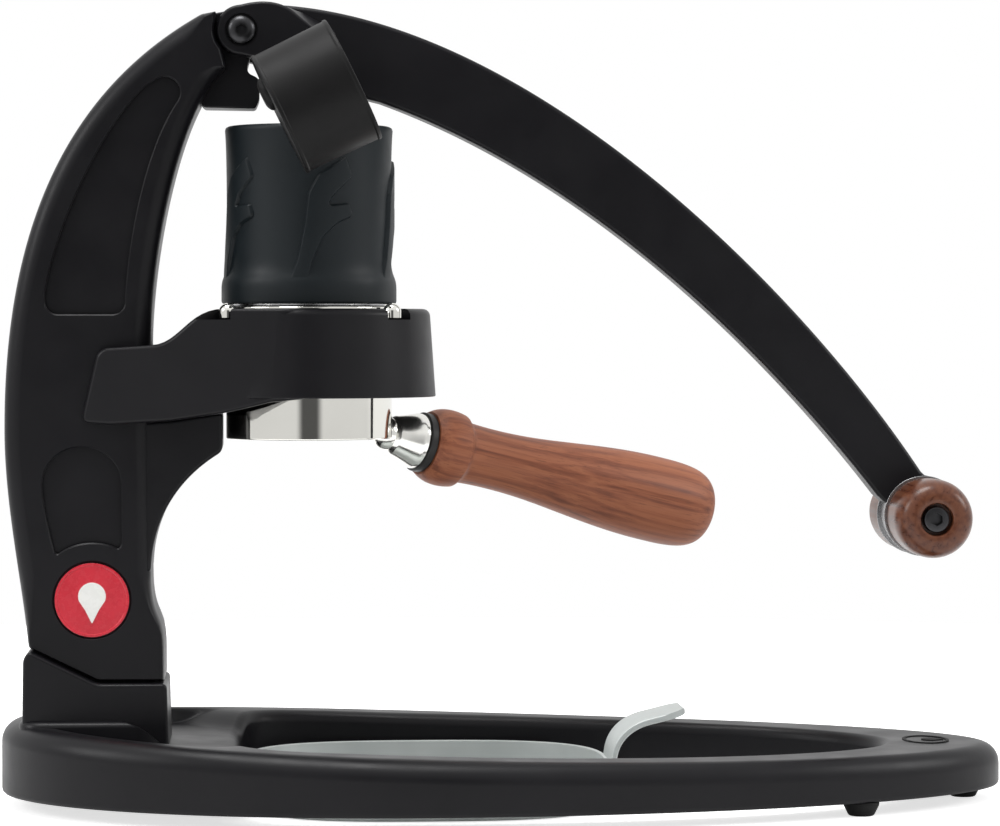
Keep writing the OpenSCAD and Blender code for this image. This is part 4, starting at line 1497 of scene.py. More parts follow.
    def build(self) -> None:
        """Build the post and its badge."""
        x, z = PIVOT
        tongue = [Vector((x + dx, z + dz)) for dx, dz in self.tongue]
        crisp = (Crisp((x, z), 12.0, 0.2), Crisp((SOCKET_VEE, SOCKET_LOW), 26.0, 0.16))
        bm = joined(
            soft_plate(self.outline(), self.half, self.rounding, 1.0, crisp),
            soft_plate(tongue, self.tongue_half, 0.6),
            rod(across(x, z), self.tongue_half, -self.tongue_half, self.tongue_half),
            soft_plate(self.gusset(), self.gusset_half, 1.2),
            block((-148.2, -13, 14), (-114.5, 13, 59.2)),
        )
        for pocket in (self.upper_pocket(), self.lower_pocket()):
            ring = eased(facing_out(pocket), 1.2)
            for side in (-1, 1):
                deep, out = side * (self.half - self.pocket_depth), side * (self.half + 2)
                bm = cut_out(bm, prism(ring, min(deep, out), max(deep, out)))
        face, r = across(POST_FRONT - 18.7, SOCKET_LOW + 26.5, -1), self.badge_radius
        recess = rod(face, r + 0.4, self.half - 1.2, self.half + 1, 128)
        bm = cut_out(bm, rod(across(x, z), self.pivot_bore, -9, 9), recess)
        self.rim_pockets(bm)
        hand_over("post_casting", bm, COAT, Body.STAND, ["post"], crease=38.0)
        disc = [(0, 16.82), (r, 16.82), (r, 18.1), (r - 0.7, 18.1), (r - 0.9, 17.95), (0, 17.95)]
        badge = turned(softened(disc, 0.1, False), face, steps=128)
        hand_over("badge_disc", badge, BADGE_RED, Body.STAND, ["badge"])
        hand_over("badge_drop", self.drop(face), DIAL, Body.STAND)
        dress_nodes(BRONZE, ["pivot_bush"])
        dress_nodes(NYLON, ["pivot_washers"])


@dataclass
class BrewHead:
    """The yoke, the portafilter with its grip, and the sleeve over the cylinder."""

    ring_top: float = 159.9
    ring_low: float = 131.6
    ring_radius: float = 39.2
    shoulder: float = 2.4
    bore: float = 27.15
    arm_half: float = 20.6
    notch: tuple[float, float, float] = (-4.2, 6.4, 2.2)
    screws: Span = (14.5, 25.4)
    body_radius: float = 26.8
    body_bore: float = 24.4
    body_low: float = 118.0
    flange: float = 29.0
    lug_angles: tuple[int, ...] = (45, 135, 225, 315)
    lug_reach: float = 37.9
    lug_width: float = 6.6
    sleeve_low: float = 161.5
    sleeve_high: float = 218.6
    sleeve_radius: float = 27.1
    sleeve_bore: float = 24.52
    neck_end: float = 13.38
    grip_radius: float = 14.5
    grip_start: float = 16.2
    grip_length: float = 110.5
    branch: tuple[Span, ...] = (
        (-6.8, 168.6), (-0.6, 168.6), (0.1, 171.0), (1.0, 175.2), (4.3, 182.7), (8.6, 186.8),
        (13.6, 188.9), (14.1, 190.2), (12.7, 193.5), (6.0, 192.8), (7.75, 196.0), (13.2, 201.0),
        (14.1, 202.2), (12.2, 206.8), (11.4, 208.5), (2.6, 202.6), (-0.7, 196.8), (-2.0, 186.0),
        (-4.1, 176.0),
    )
    branch_count: int = 5
    branch_rise: float = 1.2
    strip_width: float = 0.8

    def arm_top(self) -> Outline:
        """Give the line along which the ring's top falls away to the arms."""
        x, yoke, top = BREW_X, YOKE_HEIGHT, self.ring_top
        return bezier((x - 27, top), (x - 38.5, top), (x - 41, yoke - 9.8), (x - 50.2, yoke - 10.3), 12)

    def arms(self) -> Mesh:
        """Make the two arms that hold the ring to the post.

        Returns:
            The closed mesh.
        """
        front, yoke, x, low, half = POST_FRONT, YOKE_HEIGHT, BREW_X, self.ring_low, self.arm_half
        side = points_at(
            (front - 22, yoke - 34.9), (front - 12.5, yoke - 35.5), (front, yoke - 34.7),
            (front + 6.4, yoke - 34.3), (GUSSET_END, yoke - 31.8), (x - 20.6, yoke - 30.2),
            (x - 12.7, low - 1.2), (x, low), (x, self.ring_top),
        )
        side += self.arm_top() + points_at((front - 14, yoke - 11.2), (front - 16.6, yoke - 11.8))
        far = Vector((front - 22 - x, half))
        angle = math.atan2(far.y, far.x) - math.acos((self.ring_radius + 0.6) / far.length)
        touch = Vector((math.cos(angle), math.sin(angle))) * (self.ring_radius + 0.6)
        plan = [Vector((x + q[0], q[1])) for q in (
            (0, touch.y), tuple(touch), tuple(far), (far.x - 1, half), (far.x - 1, -half), (far.x, -half),
            (touch.x, -touch.y), (0, -touch.y),
        )]
        bm = combined(prism(eased(facing_out(side), 3.0), -60, 60), column(plan, 90, 190), Cut.KEEP_COMMON)
        return rounded_edges(bm, 1.2, 3, 45.0)

    def build_yoke(self) -> None:
        """Build the yoke: its arms and its hoop are cut first, and joined last."""
        x, yoke, high, r, bend = BREW_X, YOKE_HEIGHT, self.ring_top, self.ring_radius, self.shoulder
        seat = self.flange + 0.4
        ring = softened([
            (self.bore, self.ring_low), (r + 1.8, self.ring_low),
            *(tuple(q) for q in arc((r - bend, high - bend), bend, 4, 90, 7)),
            (seat, high), (seat, yoke), (self.bore, yoke),
        ], 0.5, True)
        slope = [q - Vector((0, 0.1)) for q in self.arm_top()]
        slope += points_at((x - 60, yoke - 10.4), (x - 60, yoke + 10), (x - 27, yoke + 10))
        hoop = cut_out(turned(ring, BREW, True, 160), prism(slope, -60, 60))
        post = block((POST_FRONT - 60, -18.02, 98), (POST_FRONT, 18.02, 188))
        arms = cut_out(self.arms(), rod(BREW, self.bore + 6, 90, 200, 160), post)
        left, right, depth = self.notch
        low, far = (self.bore - 3, left, yoke - depth), (r + 12, right, yoke + 8)
        for angle in self.lug_angles:
            turn = BREW @ spin(angle, "Z")
            hoop = cut_out(hoop, block(low, far, turn))
            if math.cos(math.radians(angle)) < 0:
                arms = cut_out(arms, block(low, far, turn))
        for down in self.screws:
            way = shift(0, 0, yoke - down) @ spin(90, "Y")
            hoop = cut_out(hoop, rod(way, 4.4, x - self.bore - 5, x))
        hand_over("yoke_casting", joined(arms, hoop), COAT, Body.STAND, ["brew_yoke"], crease=38.0)
        dress_nodes(DARK_STEEL, ["yoke_screws"])

    def lug(self, angle: float) -> Mesh:
        """Make one of the portafilter's lugs, with its domed end.

        Args:
            angle: Its place round the body, in degrees.

        Returns:
            The closed mesh.
        """
        turn = BREW @ spin(angle, "Z") @ shift(0, 0, YOKE_HEIGHT - 1.9)
        half = self.lug_width / 2
        bar = block((self.body_radius - 1.2, -half, 0), (self.lug_reach, half, 2.4), turn)
        dome = points_at((0, 0.3), (3, 0.3)) + arc((0, 2), 3, 0, 90, 10)
        end = turned(dome, turn @ shift(self.lug_reach - 1.2, 0, 0), steps=40)
        return joined(rounded_edges(bar, 0.4, 2), end)

    def build_portafilter(self) -> None:
        """Build the portafilter's body, neck, ferrule and grip."""
        yoke, r, bore, end = YOKE_HEIGHT, self.body_radius, self.body_bore, self.neck_end
        wall = softened([
            (bore, self.body_low), (r, self.body_low), (r, yoke), (self.flange, yoke),
            (self.flange, yoke + 2.0), (25.7, yoke + 2.0), (25.7, yoke + 1.1), (bore, yoke + 1.1),
        ], 0.5, True)
        bm = joined(turned(wall, BREW, True, 160), *(self.lug(angle) for angle in self.lug_angles))
        hand_over("portafilter_body", bm, CHROME, Body.STAND, ["portafilter"], crease=30.0)
        neck = arc((0, 1.4), 5.6, -90, 10, 20) + bezier((6.4, 3.4), (7.1, 6), (8.2, 9), (9.1, 11.5), 14)
        neck[0].x = 0.0
        neck += points_at((9.2, 11.9), (9.2, 13.0), (8.9, end), (4.05, end), (4.05, 1.5), (0, 1.5))
        bm = cut_out(turned(neck, GRIP, steps=96), rod(BREW, r + 0.02, self.body_low - 0.02, 190, 160))
        hand_over("grip_neck", bm, NECK_CHROME, Body.STAND, ["portafilter_neck"], crease=30.0)
        low, high = end + 0.04, self.grip_start - 0.02
        ring = softened([(4.1, low), (9.9, low), (9.9, high), (4.1, high)], 0.4, True)
        hand_over("ferrule_ring", turned(ring, GRIP, True), FERRULE, Body.STAND, ["grip_ferrule"])
        lean = tuple(math.degrees(a) for a in GRIP.to_3x3().inverted().to_euler("XYZ"))
        wood = Walnut("walnut", lean, tuple(GRIP @ Vector((3.0, 5.0, 0.0)) * MM), "grip")
        grip = turned(self.grip_profile(), GRIP, steps=128)
        hand_over("walnut_grip", grip, wood, Body.STAND, ["portafilter_grip"], crease=40.0)
        dress_nodes(STEEL, ["grip_rod", "filter_basket", "dispersion_screen"])

    def grip_profile(self) -> Outline:
        """Give the grip's turning profile.

        Returns:
            Radius and height pairs.
        """
        r = self.grip_radius

        def at(k: float) -> float:
            """Give a place along the grip."""
            return self.grip_start + k * self.grip_length

        points = points_at((0.0, at(0)), (r - 3.9, at(0)))
        points += bezier(
            (r - 3.6, at(0.005)), (r - 1.6, at(0.03)), (r - 1.3, at(0.07)), (r - 2.3, at(0.106)), 20,
        )
        points += points_at((r - 4.1, at(0.12)))
        points += bezier((r - 4.3, at(0.13)), (r - 4.9, at(0.2)), (r - 4.8, at(0.3)), (r - 3.7, at(0.4)), 20)
        points += bezier((r - 3.5, at(0.42)), (r - 1.6, at(0.58)), (r, at(0.68)), (r, at(0.82)), 24)
        points += bezier((r, at(0.85)), (r - 0.1, at(0.95)), (r - 1.6, at(1)), (r - 7, at(1)), 24)
        return points + points_at((0.0, at(1)))

    def branches(self) -> Mesh:
        """Make the raised branches round the sleeve, each a flat plate that is cut into strips and bent.

        Returns:
            One mesh with all of them.
        """
        wall = self.sleeve_radius - 0.6
        face = wall + self.branch_rise
        outline = eased(facing_out(points_at(*self.branch)), 0.9, 4)
        rows = [
            [Vector((q.x, -r, q.y)) for q in inset(outline, d)]
            for r, d in ((wall - 1.0, 0.0), (wall + 0.05, 0.0), (face - 0.15, 0.55), (face, 0.8))
        ]
        bent = []
        for k in range(self.branch_count):
            bm = swept(rows, True)
            for strip in range(-8, 18):
                bmesh.ops.bisect_plane(bm, geom=[*bm.verts, *bm.edges, *bm.faces],
                                       plane_co=(self.strip_width * strip, 0, 0), plane_no=(1, 0, 0))
            for vert in bm.verts:
                angle, r = vert.co.x / wall + math.tau * k / self.branch_count, -vert.co.y
                vert.co.x, vert.co.y = r * math.sin(angle), -r * math.cos(angle)
            bent.append(bm)
        return merged(bent)

    def build_sleeve(self) -> None:
        """Build the silicone sleeve with its raised branches."""
        low, high, r, bore = self.sleeve_low, self.sleeve_high, self.sleeve_radius, self.sleeve_bore
        band = r + 1.2
        profile = points_at((bore, low), (band - 0.8, low), (band - 0.2, low + 0.3), (band, low + 0.9))
        profile += bezier((band, low + 4.6), (band, low + 9.5), (r - 0.5, low + 8), (r - 0.55, low + 15), 20)
        profile += bezier((r - 0.6, low + 18), (r - 0.6, high - 14), (r - 0.4, high - 6), (r, high - 1.2), 20)
        profile += points_at(
            (r - 0.3, high - 0.4), (r - 1.0, high), (22.4, high), (22.4, high - 1.08), (bore, high - 1.08),
        )
        bm = joined(turned(profile, Matrix(), True, 192), self.branches())
        bm.transform(BREW)
        hand_over("silicone_sleeve", bm, SILICONE, Body.STAND, ["cylinder_sleeve"], crease=40.0)
        dress_nodes(STEEL, ["brew_cylinder"])
        dress_nodes(SEAL_RUBBER, ["chamber_seal"])

    def build(self) -> None:
        """Build the whole brew head."""
        self.build_yoke()
        self.build_portafilter()
        self.build_sleeve()


@dataclass
class Lever:
    """The lever arm, its pivot bolt and its walnut handle."""

    half: float = 6.5
    rounding: float = 1.4
    cheek_in: float = 8.5
    cheek_out: float = 16.0
    cheek_rounding: float = 1.1
    crotch: float = 10.6
    nose: Span = (BREW_X, 238.9)
    nose_radius: float = 8.0
    hub_radius: float = 12.0
    hub_half: float = 6.7
    knob_in: float = 7.35
    knob_out: float = 31.35
    knob_radius: float = 12.7
    bolt_radius: float = 3.0
    bore: float = 3.1
    dome: tuple[Span, ...] = (
        (4.7, 0.0), (4.7, 0.8), (4.55, 1.25), (4.2, 1.75), (3.7, 2.2), (3.2, 2.5), (2.6, 2.7), (2.0, 2.8),
        (0.0, 2.8),
    )
    cap: tuple[Span, ...] = ((4.1, 0.0), (4.1, 3.6), (3.9, 4.0), (3.5, 4.2), (0.0, 4.2))

    def outline(self) -> Outline:
        """Give the arm's side outline.

        Returns:
            The outline in X and Z.
        """
        pivot, handle, nose = PIVOT, HANDLE, Vector(self.nose)
        points = arc(pivot, self.crotch, 45, -35, 10) + arc(nose, self.nose_radius, 205, 335, 20)
        points += [nose + q for q in points_at((9.5, -3), (12, -8.5), (17, -11))]
        points += bezier(
            (nose.x + 23, pivot.y - 22.4), (pivot.x + 117, pivot.y - 48.4),
            (handle.x - 46.6, handle.y + 47.2), (handle.x - 15.2, handle.y + 6.7), 72,
        )
        points += arc(handle, self.hub_radius + 0.06, 164, 81, 12)
        return points + bezier(
            (pivot.x + 6, pivot.y + 9), (pivot.x + 88.2, pivot.y + 8.7),
            (handle.x - 42.8, handle.y + 77.2), (handle.x - 0.7, handle.y + 14.4), 84,
        )[::-1]

    def fork(self) -> Mesh:
        """Make the fork's head, whose shoulders slope down to the arm.

        Returns:
            The closed mesh.
        """
        points = arc((0, 0), 8.0, 100, 268, 40) + points_at((3.3, -8.8))
        points += bezier((16, -9.4), (22, -8.5), (24.5, -0.8), (22.4, 1.4), 24)
        points += bezier((0, 8.1), (5.4, 9.5), (11, 9.8), (16.2, 6.5), 24)[::-1]
        outline = eased(facing_out(points), 1.2)
        bend = self.cheek_rounding
        shares = room_inside(outline, bend)
        side = [(self.half - 1.5, 0.0, 1.0), (self.half, 0.0, 0.9)]
        side += [
            (self.cheek_out - bend * (1 - math.sin(a)), bend * (1 - math.cos(a)), 0.0) for a in quarter(15)
        ]
        rows = []
        for y, d, slide in [(-y, d, s) for y, d, s in reversed(side)] + side:
            row = inset(outline, d, shares)
            reach = [min(1.0, max(0.0, (q.x - 12) / 8)) * slide for q in row]
            rows.append([
                Vector((PIVOT.x + q.x + 8 * k, y, PIVOT.y + q.y - 0.8 * k)) for q, k in zip(row, reach)
            ])
        slot = rod(across(*PIVOT), self.crotch, -self.cheek_in, self.cheek_in, 96)
        return cut_out(swept(rows, True), slot)

    def build_arm(self) -> None:
        """Build the arm with its fork."""
        bm = joined(soft_plate(self.outline(), self.half, self.rounding), self.fork())
        bm = cut_out(bm, rod(across(*PIVOT), self.bolt_radius + 0.05, -30, 30))
        for side in (-1, 1):
            bm = cut_out(bm, rod(across(*PIVOT, side), 5.3, self.cheek_out - 1, 30, 96))
        hand_over("lever_casting", bm, COAT, Body.LEVER, ["lever_arm"], crease=38.0)

    def build_pivot(self) -> None:
        """Build the pivot's bolt and nut."""
        near, far, face, thin = across(*PIVOT, -1), across(*PIVOT, 1), self.cheek_out - 1, self.bolt_radius
        bolt = [(0.0, -30.6), (thin, -30.6), (thin, 0.0), *self.dome]
        bm = turned([(r, face + z) for r, z in bolt], near, steps=64)
        bm = cut_out(bm, rod(near, 1.75, face + 0.8, face + 6, 6))
        hand_over("pivot_screw", bm, BLACK_BOLT, Body.LEVER, ["pivot_bolt"], crease=30.0)
        nut = [(0.0, 1.7), (thin + 0.05, 1.7), (thin + 0.05, 0.0), *self.dome]
        bm = turned([(r, face + z) for r, z in nut], far, steps=64)
        hand_over("pivot_cap", bm, BLACK_BOLT, Body.LEVER, ["pivot_nut"], crease=30.0)

    def knob_profile(self) -> Outline:
        """Give the knob's turning profile.

        Returns:
            Radius and height pairs.
        """
        start, end, r, bore = self.knob_in, self.knob_out, self.knob_radius, self.bore
        long = end - start
        points = points_at((bore, start), (r - 1.1, start), (r - 0.7, start + 0.3), (r - 0.5, start + 0.8))
        points += bezier(
            (r - 0.4, start + 1.6), (r, start + 6), (r, start + long * 0.5), (r, start + long * 0.62), 20,
        )
        points += bezier(
            (r, start + long * 0.66), (r - 0.1, start + long * 0.92), (r - 3, end), (r - 6, end), 24,
        )
        return points + points_at(
            (5.8, end), (5.4, end - 0.15), (5.2, end - 0.6), (5.2, end - 5), (bore, end - 5),
        )

    def build_handle(self) -> None:
        """Build the hub, the washers, both knobs and the bolt through them."""
        x, z = HANDLE
        hub, wide, bore, thin = self.hub_half, self.hub_radius, self.bore, self.bolt_radius
        ring = softened([(bore, -hub), (wide, -hub), (wide, hub), (bore, hub)], 0.5, True)
        sleeve = turned(ring, across(x, z), True, 128)
        hand_over("handle_sleeve", sleeve, SHADED_HUB_STEEL, Body.LEVER, ["handle_hub"])
        wide, out = wide + 1.1, hub + 0.6
        washer = softened([(bore, hub), (wide, hub), (wide, out), (bore, out)], 0.2, True)
        rings = [turned(washer, across(x, z, side), True, 128) for side in (-1, 1)]
        hand_over("handle_rings", merged(rings), SHADED_HUB_STEEL, Body.LEVER, ["handle_washers"])
        for side, name, node in ((-1, "near_knob", "handle_knob_near"), (1, "far_knob", "handle_knob_far")):
            heart = (x * MM + 0.003, 0.0, z * MM - 0.005 * side)
            wood = Walnut("walnut", (-90.0, 0.0, 0.0), heart, name, 0.32, (0.26, 0.34))
            knob = turned(self.knob_profile(), across(x, z, side), True, 128)
            hand_over(name, knob, wood, Body.LEVER, [node], crease=40.0)
        seat, near = self.knob_out - 5, across(x, z, -1)
        cap = [(r, seat + up) for r, up in self.cap]
        bolt = [(0.0, -seat - 2.4), (thin, -seat - 2.4), (thin, seat), *cap]
        bm = cut_out(turned(bolt, near, steps=64), rod(near, 2.1, seat + 1.8, seat + 9, 6))
        hand_over("handle_screw", bm, BLACK_BOLT, Body.LEVER, ["handle_bolt"], crease=30.0)
        nut = [(0.0, seat + 2.5), (thin + 0.05, seat + 2.5), (thin + 0.05, seat), *cap]
        bm = turned(nut, across(x, z, 1), steps=64)
        hand_over("handle_cap", bm, BLACK_BOLT, Body.LEVER, ["handle_nut"], crease=30.0)

    def build(self) -> None:
        """Build the whole lever."""
        self.build_arm()
        self.build_pivot()
        self.build_handle()


@dataclass
class Gauge:
    """The pressure gauge on the plunger: its boot, bezel, glass, dial and needle."""

    radius: float = 20.4
    back_radius: float = 20.1
    bore: float = 16.2
    front: float = 13.0
    wall: float = 2.2
    dial: float = 4.0
    glass: float = 9.6
    glass_thickness: float = 1.6
    plug_at: float = -7.4
    stem_height: float = 224.6
    sweep: float = 270.0
    zero: float = -45.0
    top: int = 16
    figure_size: float = 3.6
    figure_radius: float = 10.4
    spindle: float = 1.05

    def turn_of(self, value: float) -> float:
        """Give the dial angle of a reading.

        Args:
            value: The reading.

        Returns:
            The angle in radians, in the gauge's own frame.
        """
        return math.radians(self.zero - self.sweep * value / self.top)

    def build_case(self) -> None:
        """Build the boot, the bezel and the glass."""
        r, back, front, high = self.radius, self.back_radius, self.front, self.glass
        edge, low = r - self.wall, high - self.glass_thickness
        shell = softened([
            (0, -front), (back, -front), (back, 1.1 - front), (back - 0.3, 1.4 - front),
            (r - 0.3, front - 1.4), (r, front - 1.1), (r, front), (edge, front), (edge, low),
            (self.bore, low), (self.bore, 3 - front), (0, 3 - front),
        ], 0.6, False)
        plug = softened([(0, -2.1), (3.6, -2.1), (5.5, -0.9), (5.5, 1.0), (0, 1.0)], 1.3, False)
        vent = turned(plug, GAUGE @ shift(self.plug_at, 0, -front), steps=64)
        bm = joined(turned(shell, GAUGE, steps=144), vent)
        bm = cut_out(bm, rod(across(BREW_X, self.stem_height), 3.55, -43.9, 0))
        hand_over("gauge_boot", bm, GAUGE_BOOT, Body.PLUNGER, ["gauge_case"], crease=34.0)
        ring = softened([
            (edge - 2.4, high), (edge - 0.02, high), (edge - 0.02, front - 0.5), (edge - 1, front - 0.3),
            (edge - 2.4, front - 1.4),
        ], 0.3, True)
        hand_over("gauge_ring", turned(ring, GAUGE, True, 144), BEZEL, Body.PLUNGER, ["gauge_bezel"])
        pane = softened([(0, low), (edge - 0.05, low), (edge - 0.05, high), (0, high)], 0.15, False)
        hand_over("gauge_pane", turned(pane, GAUGE, steps=128), GLASS, Body.PLUNGER, ["gauge_lens"])

    def build_dial(self) -> None:
        """Build the dial with its marks and numbers."""
        face, edge = self.dial, self.bore - 0.05
        plate = points_at((1.4, face - 0.6), (edge, face - 0.6), (edge, face), (1.4, face))
        hand_over("dial_plate", turned(plate, GAUGE, True, 128), DIAL, Body.PLUNGER, ["gauge_dial"])
        marks = []
        for i in range(self.top * 2 + 1):
            long, wide = (2.4, 0.28) if i % 8 == 0 else (1.6, 0.2) if i % 2 == 0 else (1.0, 0.14)
            place = GAUGE @ Matrix.Rotation(self.turn_of(i / 2), 4, "Z")
            start, end = edge - 0.8 - long, edge - 0.8
            marks.append(block((start, -wide, face - 0.05), (end, wide, face + 0.08), place))
        hand_over("dial_marks", merged(marks), BEZEL, Body.PLUNGER)
        figures = []
        for value in range(0, self.top + 1, 4):
            angle = self.turn_of(value)
            spot = Vector((math.cos(angle), math.sin(angle))) * self.figure_radius
            figures.append(self.figure(str(value), spot))
        hand_over("dial_figures", merged(figures), BEZEL, Body.PLUNGER)

    def figure(self, text: str, spot: Vector) -> Mesh:
        """Make one number of the dial.

        Args:
            text: The number.
            spot: Its middle in the gauge's frame.

        Returns:
            The closed mesh.
        """
        curve = bpy.data.curves.new("figure", "FONT")
        curve.body, curve.size, curve.extrude = text, self.figure_size, 0.06
        curve.align_x, curve.align_y = "CENTER", "CENTER"
        curve.resolution_u = 4
        work = in_scene("figure", curve)
        bm = finished(work)
        bpy.data.objects.remove(work)
        bpy.data.curves.remove(curve)
        bm.transform(GAUGE @ shift(spot.x, spot.y, self.dial) @ spin(90, "Z"))
        return bm

    def build_needle(self) -> None:
        """Build the needle."""
        low, high, thin = self.dial + 0.5, self.dial + 1.7, self.spindle
        place = GAUGE @ spin(self.zero, "Z")
        ring = softened([(thin, low), (2.0, low), (2.0, high), (thin, high)], 0.2, True)
        pointer = points_at((-5, -0.9), (1.2, -0.75), (12, -0.2), (12, 0.2), (1.2, 0.75), (-5, 0.9))
        blade = column(pointer, self.dial + 0.7, self.dial + 1.3)
        blade.transform(place)
        blade = cut_out(blade, rod(GAUGE, thin, 0, 30, 48))
        needle = joined(blade, turned(ring, place, True, 48))
        hand_over("gauge_pointer", needle, NEEDLE, Body.NEEDLE, ["gauge_needle"])

    def build(self) -> None:
        """Build the whole gauge."""
        self.build_case()
        self.build_dial()
        self.build_needle()
        dress_nodes(STEEL, ["gauge_fitting", "plunger_stem", "piston"])
        dress_nodes(DARK_STEEL, ["stem_head"])
        dress_nodes(SEAL_RUBBER, ["piston_seals"])
        dress_nodes(BRONZE, ["gauge_movement", "bourdon_tube"])


@dataclass
class DripTray:
    """The loose drip tray with its lifting tab."""

    middle: float = -25.7
    half_long: float = 60.0
    half_wide: float = 56.8
    fullness: float = 0.667
    height: float = 13.4
    skin: float = 1.2
    tab_width: float = 26.0
    tab_half: float = 1.0
    tab_end: float = 24.4
    points: int = 160

    def ring(self, less: float, z: float) -> Outline:
        """Give the tray's outline at one level.

        Args:
            less: How far inside the rim's outline.
            z: The level.

        Returns:
            The points.
        """
        found = []
        for i in range(self.points):
            t = math.tau * i / self.points
            c, s = (math.copysign(abs(share) ** self.fullness, share) for share in (math.cos(t), math.sin(t)))
            found.append(Vector((self.middle + (self.half_long - less) * c, (self.half_wide - less) * s, z)))
        return found

    def tab(self) -> Mesh:
        """Make the upturned tab.

        Returns:
            The closed mesh.
        """
        line = points_at((0.2, -self.height + 3), (0.2, 0))
        line += bezier((0.6, 2.5), (2, 9), (7.5, 12), (12, 13.1), 20)
        line += points_at((17, 14.3), (24, 16.2))
        foot = Vector((self.middle + self.half_long, self.height))
        sides: list[Outline] = [[], []]
        for i, point in enumerate(line):
            along = (line[min(len(line) - 1, i + 1)] - line[max(0, i - 1)]).normalized()
            for side, d in zip(sides, (-self.tab_half, self.tab_half)):
                side.append(foot + point + Vector((-along.y, along.x)) * d)
        half, end = self.tab_width / 2, self.middle + self.half_long + self.tab_end
        plan = points_at((end - 60, -half), (end, -half), (end, half), (end - 60, half))
        strip = soft_plate(sides[0] + sides[1][::-1], half, 0.5)
        return combined(strip, column(eased(plan, 9.0, 12), 0, 60), Cut.KEEP_COMMON)

    def build(self) -> None:
        """Build the tray."""
        high, skin = self.height, self.skin
        outside = [
            (5.0, 0.0), (3.9, 0.15), (3.0, 0.6), (2.2, 1.5), (1.6, 3.0), (0.9, high * 0.55),
            (0.2, high - 0.5), (0.25, high - 0.15), (0.5, high),
        ]
        inside = [
            (0.5 + skin * 0.5, high), (0.3 + skin, high - 0.3), (1.0 + skin, high * 0.55), (1.7 + skin, 3.4),
            (2.3 + skin, 2.2), (3.0 + skin, 1.5), (3.9 + skin, skin),
        ]
        bm = joined(swept([self.ring(less, z) for less, z in outside + inside], True), self.tab())
        hand_over("tray_pan", bm, TRAY, Body.TRAY, ["drip_tray"], crease=40.0)


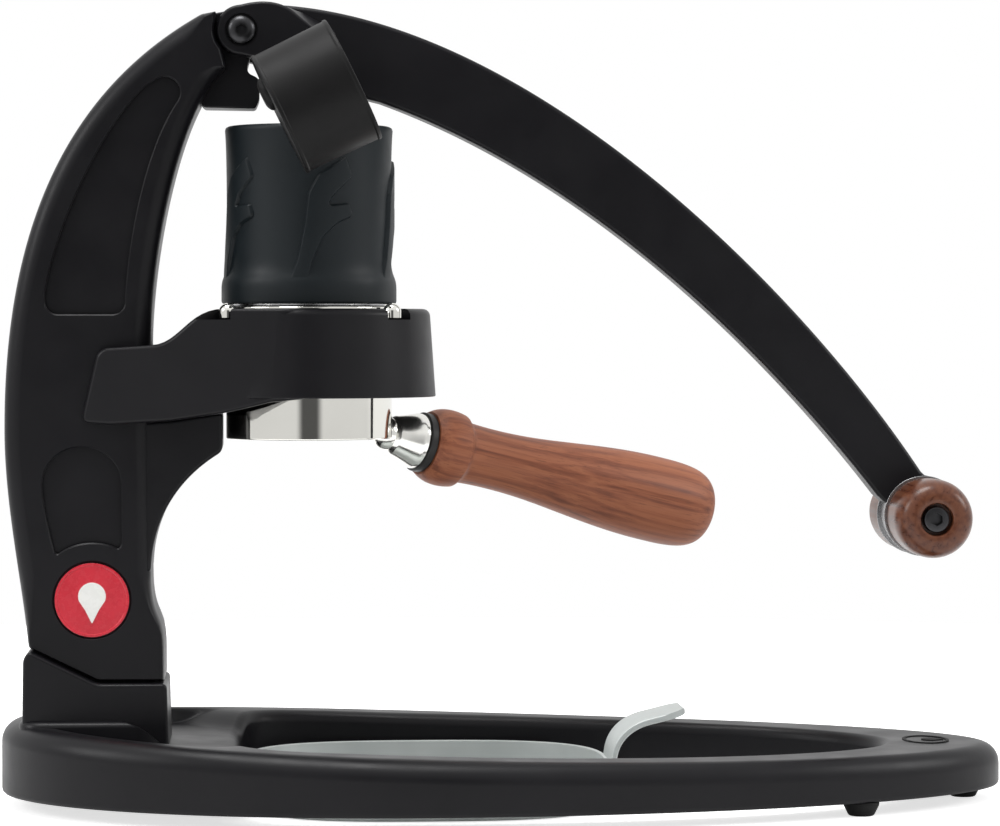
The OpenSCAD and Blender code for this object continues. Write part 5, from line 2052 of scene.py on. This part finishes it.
@dataclass
class Studio:
    """The pale floor, the soft lights, the white surround and the camera."""

    camera_at: Color = (-0.0789, -1.1975, 0.15406)
    yaw: float = 3.7008
    pitch: float = 1.33457
    focal: float = 132.894
    sensor: float = 36.0
    fill: float = 0.62
    card_edges: Span = (0.15, 0.34)
    card_levels: Span = (0.09, 0.76)
    floor_radius: float = 0.75
    floor_glow: float = 0.7
    floor_shine: float = 0.25
    lamps: tuple[tuple[Color, Color, float, float], ...] = (
        ((-0.25, -0.22, 1.4), (-0.05, 0.0, 0.1), 0.7, 13.0),
        ((-1.5, -0.5, 0.9), (-0.05, 0.0, 0.12), 0.7, 9.0),
        ((1.6, -0.3, 0.9), (0.0, 0.0, 0.12), 0.7, 9.0),
    )

    def build_camera(self) -> None:
        """Set up the camera at the photograph's place."""
        data = bpy.data.cameras.new("camera")
        data.lens, data.sensor_width, data.sensor_fit = self.focal, self.sensor, "HORIZONTAL"
        data.clip_start, data.clip_end = 0.05, 50.0
        camera = in_scene("camera", data)
        camera.location = self.camera_at
        camera.rotation_euler = (math.radians(90 - self.pitch), 0.0, math.radians(-self.yaw))
        bpy.context.scene.camera = camera

    def build_lights(self) -> None:
        """Hang the soft lights."""
        for i, (place, target, size, power) in enumerate(self.lamps):
            data = bpy.data.lights.new(f"softbox_{i}", "AREA")
            data.shape, data.size, data.energy = "DISK", size, power
            lamp = in_scene(f"softbox_{i}", data)
            lamp.location = place
            lamp.rotation_euler = (Vector(target) - Vector(place)).to_track_quat("-Z", "Y").to_euler()

    def seen(self, tree: Tree, path: bpy.types.Node) -> Socket:
        """Tell the rays that the camera sees, also through glass, from the others."""
        rays = path.outputs
        return worked_out(tree, "MAXIMUM", rays["Is Camera Ray"], rays["Is Transmission Ray"])

    def build_world(self) -> None:
        """Surround the object with white that lights it at a plain level.

        Polished pieces mirror a dark card in front of the object, with white beside, above and behind it.
        """
        world = bpy.data.worlds.new("surround")
        bpy.context.scene.world = world
        world.use_nodes = True
        tree = world.node_tree
        back = next(n for n in tree.nodes if n.type == "BACKGROUND")
        path = add_node(tree, "LightPath", {})
        way = add_node(tree, "TexCoord", {}).outputs["Generated"]
        apart = add_node(tree, "SeparateXYZ", {"Vector": way}).outputs
        aside = worked_out(tree, "ABSOLUTE", apart["X"])
        card = spread(tree, aside, self.card_edges, self.card_levels, True)
        behind = spread(tree, apart["Y"], (-0.1, 0.25), (0.0, 1.0), True)
        above = spread(tree, apart["Z"], (0.3, 0.65), (0.0, 1.0), True)
        mirrored = blended(tree, above, blended(tree, behind, card, 1.0), 1.0)
        soft = blended(tree, path.outputs["Is Glossy Ray"], self.fill, mirrored)
        level = blended(tree, self.seen(tree, path), soft, 1.0)
        tree.links.new(level, back.inputs["Strength"])
        back.inputs["Color"].default_value = (1.0, 1.0, 1.0, 1.0)

    def build_floor(self) -> None:
        """Lay a pale floor that keeps the object's shadow."""
        bm = bmesh.new()
        bmesh.ops.create_circle(bm, cap_ends=True, segments=128, radius=self.floor_radius)
        mesh = baked("floor", bm)
        floor = in_scene("floor", mesh)
        material = bpy.data.materials.new("pale_floor")
        board = Board(material)
        board.set(Base_Color=grey(0.86), Roughness=0.9, Specular_IOR_Level=0.1, Emission_Color=grey(1.0))
        path = add_node(board.tree, "LightPath", {})
        shine = worked_out(board.tree, "MULTIPLY", path.outputs["Is Glossy Ray"], self.floor_shine)
        glow = worked_out(board.tree, "MULTIPLY_ADD", self.seen(board.tree, path), self.floor_glow, shine)
        board.feed("Emission Strength", glow)
        mesh.materials.append(material)

    def build(self) -> None:
        """Build the studio."""
        bpy.context.scene.view_settings.view_transform = "Standard"
        self.build_camera()
        self.build_lights()
        self.build_world()
        self.build_floor()


def main() -> None:
    """Build the studio and every sub-assembly, logging each as it is built."""
    logging.basicConfig(level=logging.INFO, format="%(message)s")
    for part in (Studio(), BaseCasting(), Post(), BrewHead(), Lever(), Gauge(), DripTray()):
        LOG.info("building %s", type(part).__name__)
        part.build()


if __name__ == "__main__":
    main()
